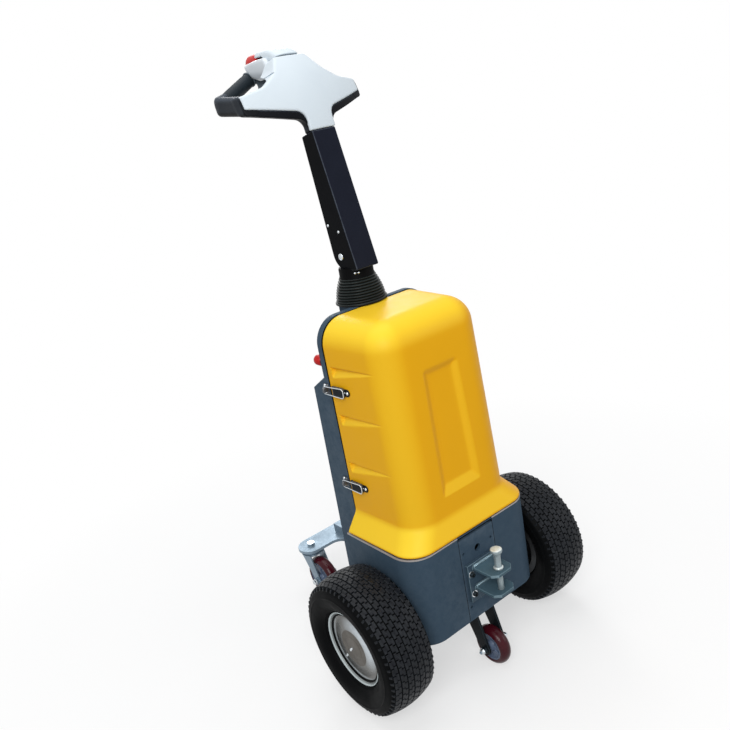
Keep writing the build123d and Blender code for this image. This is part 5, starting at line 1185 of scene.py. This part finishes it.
# ==== Draw latches ===============================================================================
def latch_place(side, height):
    """A spot on the cover's side, and the ways to the rear, up and outwards there, as rows."""
    low, high = box_mm("latch_bases")
    spots = ((low[1], height), (high[1], height), (middle_mm("latch_bases")[1], height + 20))
    front, rear, above = (np.array((side * side_x(y, z), y, z)) for y, z in spots)
    spot, rearward = (front + rear) / 2, unit(rear - front)
    outward = unit(np.cross(rearward, above - spot) * side)
    return spot, np.stack([rearward, np.cross(outward, rearward), outward])


def build_latches():
    low, high = box_mm("latch_bases")
    half_length, half_width = (high[1] - low[1]) / 2, 8.5
    catch_y, column_x = middle_mm("latch_catches")[1], box_mm("column")[1][0]
    plates, levers = Shape(BLACK_METAL, BRIGHT), Shape(LATCH_GREY, BLACK_METAL)
    wires, catches = Shape(BRIGHT), Shape(BRIGHT, LATCH_GREY)
    for side in (-1, 1):
        for height in (low[2] + half_width, high[2] - half_width):
            # (rearward, up, outward) @ ways gives a direction in the scene
            spot, ways = latch_place(side, height)
            rearward, _, outward = ways
            plates.prism(plate(-half_length, half_length, half_width, (8.4, 3, 3, 8.4), 6), spot, outward,
                         0.1, 2.6, 0.7, hint=rearward)
            for back, radius, proud in ((7, 3.9, 2.6), (15.5, 2.4, 1.6)):
                plates.dome(spot + (back - half_length, 0, 2.6) @ ways, outward, radius, proud, 1)
            middle = spot + rearward * 3.5
            levers.prism(plate(-19, 20, 12, (6.5, 3, 3, 6.5), 5), middle, outward, 2.7, 8.4, 1.8,
                         hint=rearward, steps=3)
            levers.prism(plate(-15, 15, 7.4, 4), middle, outward, 8.2, 9.4, 0.7, hint=rearward, slot=1)
            levers.tube([middle + (20.5, up, 4) @ ways for up in (-11, 0, 11)], 2.6, 14, slot=1)
            hook = (catch_y - spot[1]) / rearward[1]
            loop = rounded([(-16.5, -11.2), (hook, -8.4), (hook, 8.4), (-16.5, 11.2)], [6.5, 5, 5, 6.5], 6)
            path = [(back, up, 9.6 + 0.6 * smoothstep(back, 20, 40)) for back, up in loop]
            wires.tube([spot + place @ ways for place in path], 1.15, 10, closed=True)
            seat = np.array((side * column_x, catch_y, height))
            catches.prism(plate(-9, 9, 12.5, 4), seat, (side, 0, 0), 0.1, 2.4, 0.6, hint=(0, 1, 0), slot=1)
            catches.prism(plate(-3.6, 3.6, 5.6, 2), seat - (0, 3.4, 0), (side, 0, 0), 2.2, 13.8, 1.2,
                          hint=(0, 1, 0), slot=1)
            for up in (-8.4, 8.4):
                catches.dome(seat + (side * 2.4, 3, up), (side, 0, 0), 3.4, 3)
    plates.build("latch_plates", "chassis", "black_metal", ("latch_bases",), flat=True)
    levers.build("latch_lever_boxes", "chassis", "black_metal", ("latch_levers",), flat=True)
    wires.build("latch_wire_loops", "chassis", "bright_metal", ("latch_bails",))
    catches.build("latch_keepers", "chassis", "bright_metal", ("latch_catches",), flat=True)


build_latches()


# ==== Chassis, clevis and pin details ============================================================
def build_chassis_edge():
    """Bare line where the paint stops along the chassis's top edge."""
    low, high = box_mm("chassis_skirt")
    corner, plate_half = 60, box_mm("front_plate")[1][0]
    section = ((-0.2, -3.2), (0.35, -3.1), (0.6, -2.4), (0.6, -0.6), (0.2, 0.3), (-2.8, 0.4), (-3, -0.2))
    shape = Shape(BARE_EDGE)
    for side in (-1, 1):
        # place and way outwards
        plan = [(side * high[0], high[1], side, 0), (side * high[0], low[1] + corner, side, 0)]
        for angle in np.radians(np.linspace(0, 90, 15)):
            u, v = side * cos(angle), -sin(angle)
            plan.append((side * (high[0] - corner) + corner * u, low[1] + corner + corner * v, u, v))
        plan.append((side * (plate_half + 1), low[1], 0, -1))
        rows = [[(x + out * u, y + out * v, high[2] + up) for x, y, u, v in plan] for out, up in section]
        shape.grid(rows, wrap_rows=True)
    shape.build("chassis_edge_line", "chassis", "grey_paint")


def build_plate_seams():
    """Dark joints down both sides of the front plate."""
    low, high = box_mm("front_plate")
    front, top = box_mm("chassis_skirt")[0][1], box_mm("chassis_skirt")[1][2] - 1
    shape = Shape(BLACK_PLASTIC)
    for side in (-1, 1):
        x = side * (high[0] + 0.2)
        strip = [(x - 0.7, low[2] + 2), (x + 0.7, low[2] + 2), (x + 0.7, top), (x - 0.7, top)]
        shape.prism(strip, (0, front, 0), (0, -1, 0), -1.5, 0.12, 0.05)
    shape.build("plate_seams", "chassis", "black_plastic")


def build_clevis_details():
    low, high = box_mm("tow_clevis")
    face = box_mm("chassis_skirt")[0][1] - 8
    bolts = Shape(BRIGHT, BLACK_METAL)
    for x in (-37, 37):
        for z in (low[2] + 21, high[2] - 24):
            bolts.lathe([(0.3, 0), (8.2, 0), (8.6, 0.5), (8.6, 1.3), (8.1, 1.8), (0.3, 1.8)], (x, face, z),
                        (0, -1, 0), 28)
            bolts.socket_bolt((x, face - 1.8, z), (0, -1, 0), 5.9, 5.4, 1)
    bolts.build("clevis_bolts", "chassis", "black_metal")
    welds = Shape(WELD)
    across = np.linspace(-30.5, 30.5, 90)
    ripple = across * 1.5
    for top in (high[2] - 7.5, low[2] + 37):
        path = (across, face - 2.4 - 0.5 * np.sin(ripple), top + 1.8 + 0.4 * np.cos(ripple))
        welds.tube(np.stack(path, axis=1), 3.7 + np.sin(ripple), 10)
    welds.build("clevis_welds", "chassis", "bright_metal")


def build_tow_pin():
    low, high = box_mm("tow_pin")
    seat = box_mm("tow_clevis")[1][2] - 7.5
    top, wide = high[2], (high[0] - low[0]) / 2
    profile = [(0.01, low[2]), (4.6, low[2]), (6.2, low[2] + 1.2), (6.9, low[2] + 4)]
    profile += [(radius, seat + up) for radius, up in (
        (6.9, 0.4), (10.6, 0.5), (11.2, 1.2), (11.2, 4.4), (10.2, 5.6), (8.4, 7), (7.9, 9))]
    profile += [(radius, seat + share * (top - seat)) for radius, share in (
        (7.7, 0.45), (8.2, 0.62), (9.4, 0.72), (11.6, 0.8), (13.2, 0.84), (wide, 0.87), (wide, 0.94),
        (wide - 0.7, 0.965), (wide - 2.4, 0.98))]
    profile += [(wide - 5, top - 0.5), (0.01, top)]
    shape = Shape(PIN_STEEL)
    shape.lathe(profile, middle_mm("tow_pin") * (1, 1, 0), (0, 0, 1), 56)
    shape.build("tow_pin_turned", "drop_pin", "bright_metal", ("tow_pin",), crease=36)


build_chassis_edge()
build_plate_seams()
build_clevis_details()
build_tow_pin()


# ==== Nuts, dial and screws ======================================================================
def build_front_axle_nuts():
    reach = box_mm("front_fork")[1][0]
    shape = Shape(BRIGHT, ZINC)
    for side in (-1, 1):
        place = middle_mm("front_wheel_tread") * (0, 1, 1) + (side * reach, 0, 0)
        shape.hex_bolt(place, (side, 0, 0), 12, 5, 7.6, 12)
        end = [(0.01, 0), (3.4, 0), (3.4, 9.4), (2.6, 10.2), (0.01, 10.4)]
        shape.lathe(end, place, (side, 0, 0), 20, 1)
    shape.build("front_axle_nuts", "chassis", "bright_metal")


def build_caster_axle_nuts(name):
    shape = Shape(BRIGHT)
    for end, corner in zip((-1, 1), box_mm(f"caster_{name}_fork")):
        place = middle_mm(f"caster_{name}_tread") * (0, 1, 1) + (corner[0], 0, 0)
        shape.hex_bolt(place, (end, 0, 0), 13, 5.5, 8.4, 20)
    shape.build(f"caster_{name}_axle_nuts", f"caster_{name}", "bright_metal")


def build_gauge():
    low, high = box_mm("charge_gauge")
    radius = (high[0] - low[0]) / 2
    front = middle_mm("charge_gauge") * (1, 0, 1) + (0, high[1], 0)
    dial = Shape(DIAL, BLACK_PLASTIC, RED)
    dial.lathe([(0.01, 0.3), (radius - 5, 0.3), (radius - 4.8, 0.05)], front, (0, 1, 0), 48)
    for k in range(11):
        angle = radians(210 - 24 * k)
        out = np.array((-cos(angle), 0, sin(angle)))
        start = front + (0, 0.45, 0) + out * (radius - 10)
        long = 2.2 if k % 5 else 3.6
        dial.tube([start, start + out * long / 2, start + out * long], 0.35, 6, slot=1)
    lean = np.array((-0.5, 0, sin(pi / 3)))
    hub = front + (0, 0.7, -4)
    dial.tube([hub + lean * reach for reach in (-3, 6, 15)], (0.9, 0.7, 0.25), 6, slot=2)
    dial.dome(hub - (0, 0.3, 0), (0, 1, 0), 2.4, 1.2, 1)
    dial.build("gauge_dial", "chassis", "black_plastic")
    cover = Shape(GLASS)
    pane = [(radius - out, up) for out, up in (
        (7, 2.2), (5.4, 1.5), (4.9, 0.2), (5.6, 0.2), (6.2, 1.1), (7.4, 1.6))]
    cover.lathe([(0.01, 2.4), *pane, (0.01, 1.8)], front, (0, 1, 0), 48)
    cover.build("gauge_glass_cover", "chassis", "black_plastic")


def build_panel_screws():
    low, high = box_mm("back_panel")
    shape = Shape(BRIGHT)
    for side in (-1, 1):
        for z in (low[2] + 14, high[2] - 52):
            shape.socket_bolt((side * (high[0] - 14), high[1], z), (0, 1, 0), 4.2, 2.4)
    shape.build("panel_screws", "chassis", "bright_metal")


build_front_axle_nuts()
for side_name, _ in SIDES:
    build_caster_axle_nuts(side_name)
build_gauge()
build_panel_screws()

# ==== Carried-over CAD nodes =====================================================================
# material, bevel, nodes
for material, bevel, nodes in (
    (PAINT, 0.7, ("chassis_skirt",)), (PAINT, 0.8, ("chassis_floor", "front_plate", "rear_cheeks")),
    (PAINT, 2, ("column",)), (PAINT, 3, ("back_panel",)), (PAINT, 1.5, ("tiller_pedestal",)),
    (HITCH_PAINT, 1.8, ("tow_clevis",)), (CAST, 2, ("drive_axle",)), (BATTERY, 3, ("battery_block",)),
    (RUBBER, 0.6, ("cover_seal",)), (BLACK_PLASTIC, 1, ("stop_base",)), (RED, 0, ("stop_button",)),
    (BLACK_PLASTIC, 0.8, ("charge_gauge",)), (BRIGHT, 0.8, ("key_switch",)),
    (BRIGHT, 1, ("pivot_pin", "kingpins")), (BLACK_METAL, 1, ("front_fork",)),
    (BLACK_METAL, 2, ("tiller_post",)), (ZINC, 1.2, ("rear_frame",)),
    (ZINC, 0.8, ("caster_left_fork", "caster_right_fork")),
):
    for node in nodes:
        dress(node, material, bevel)
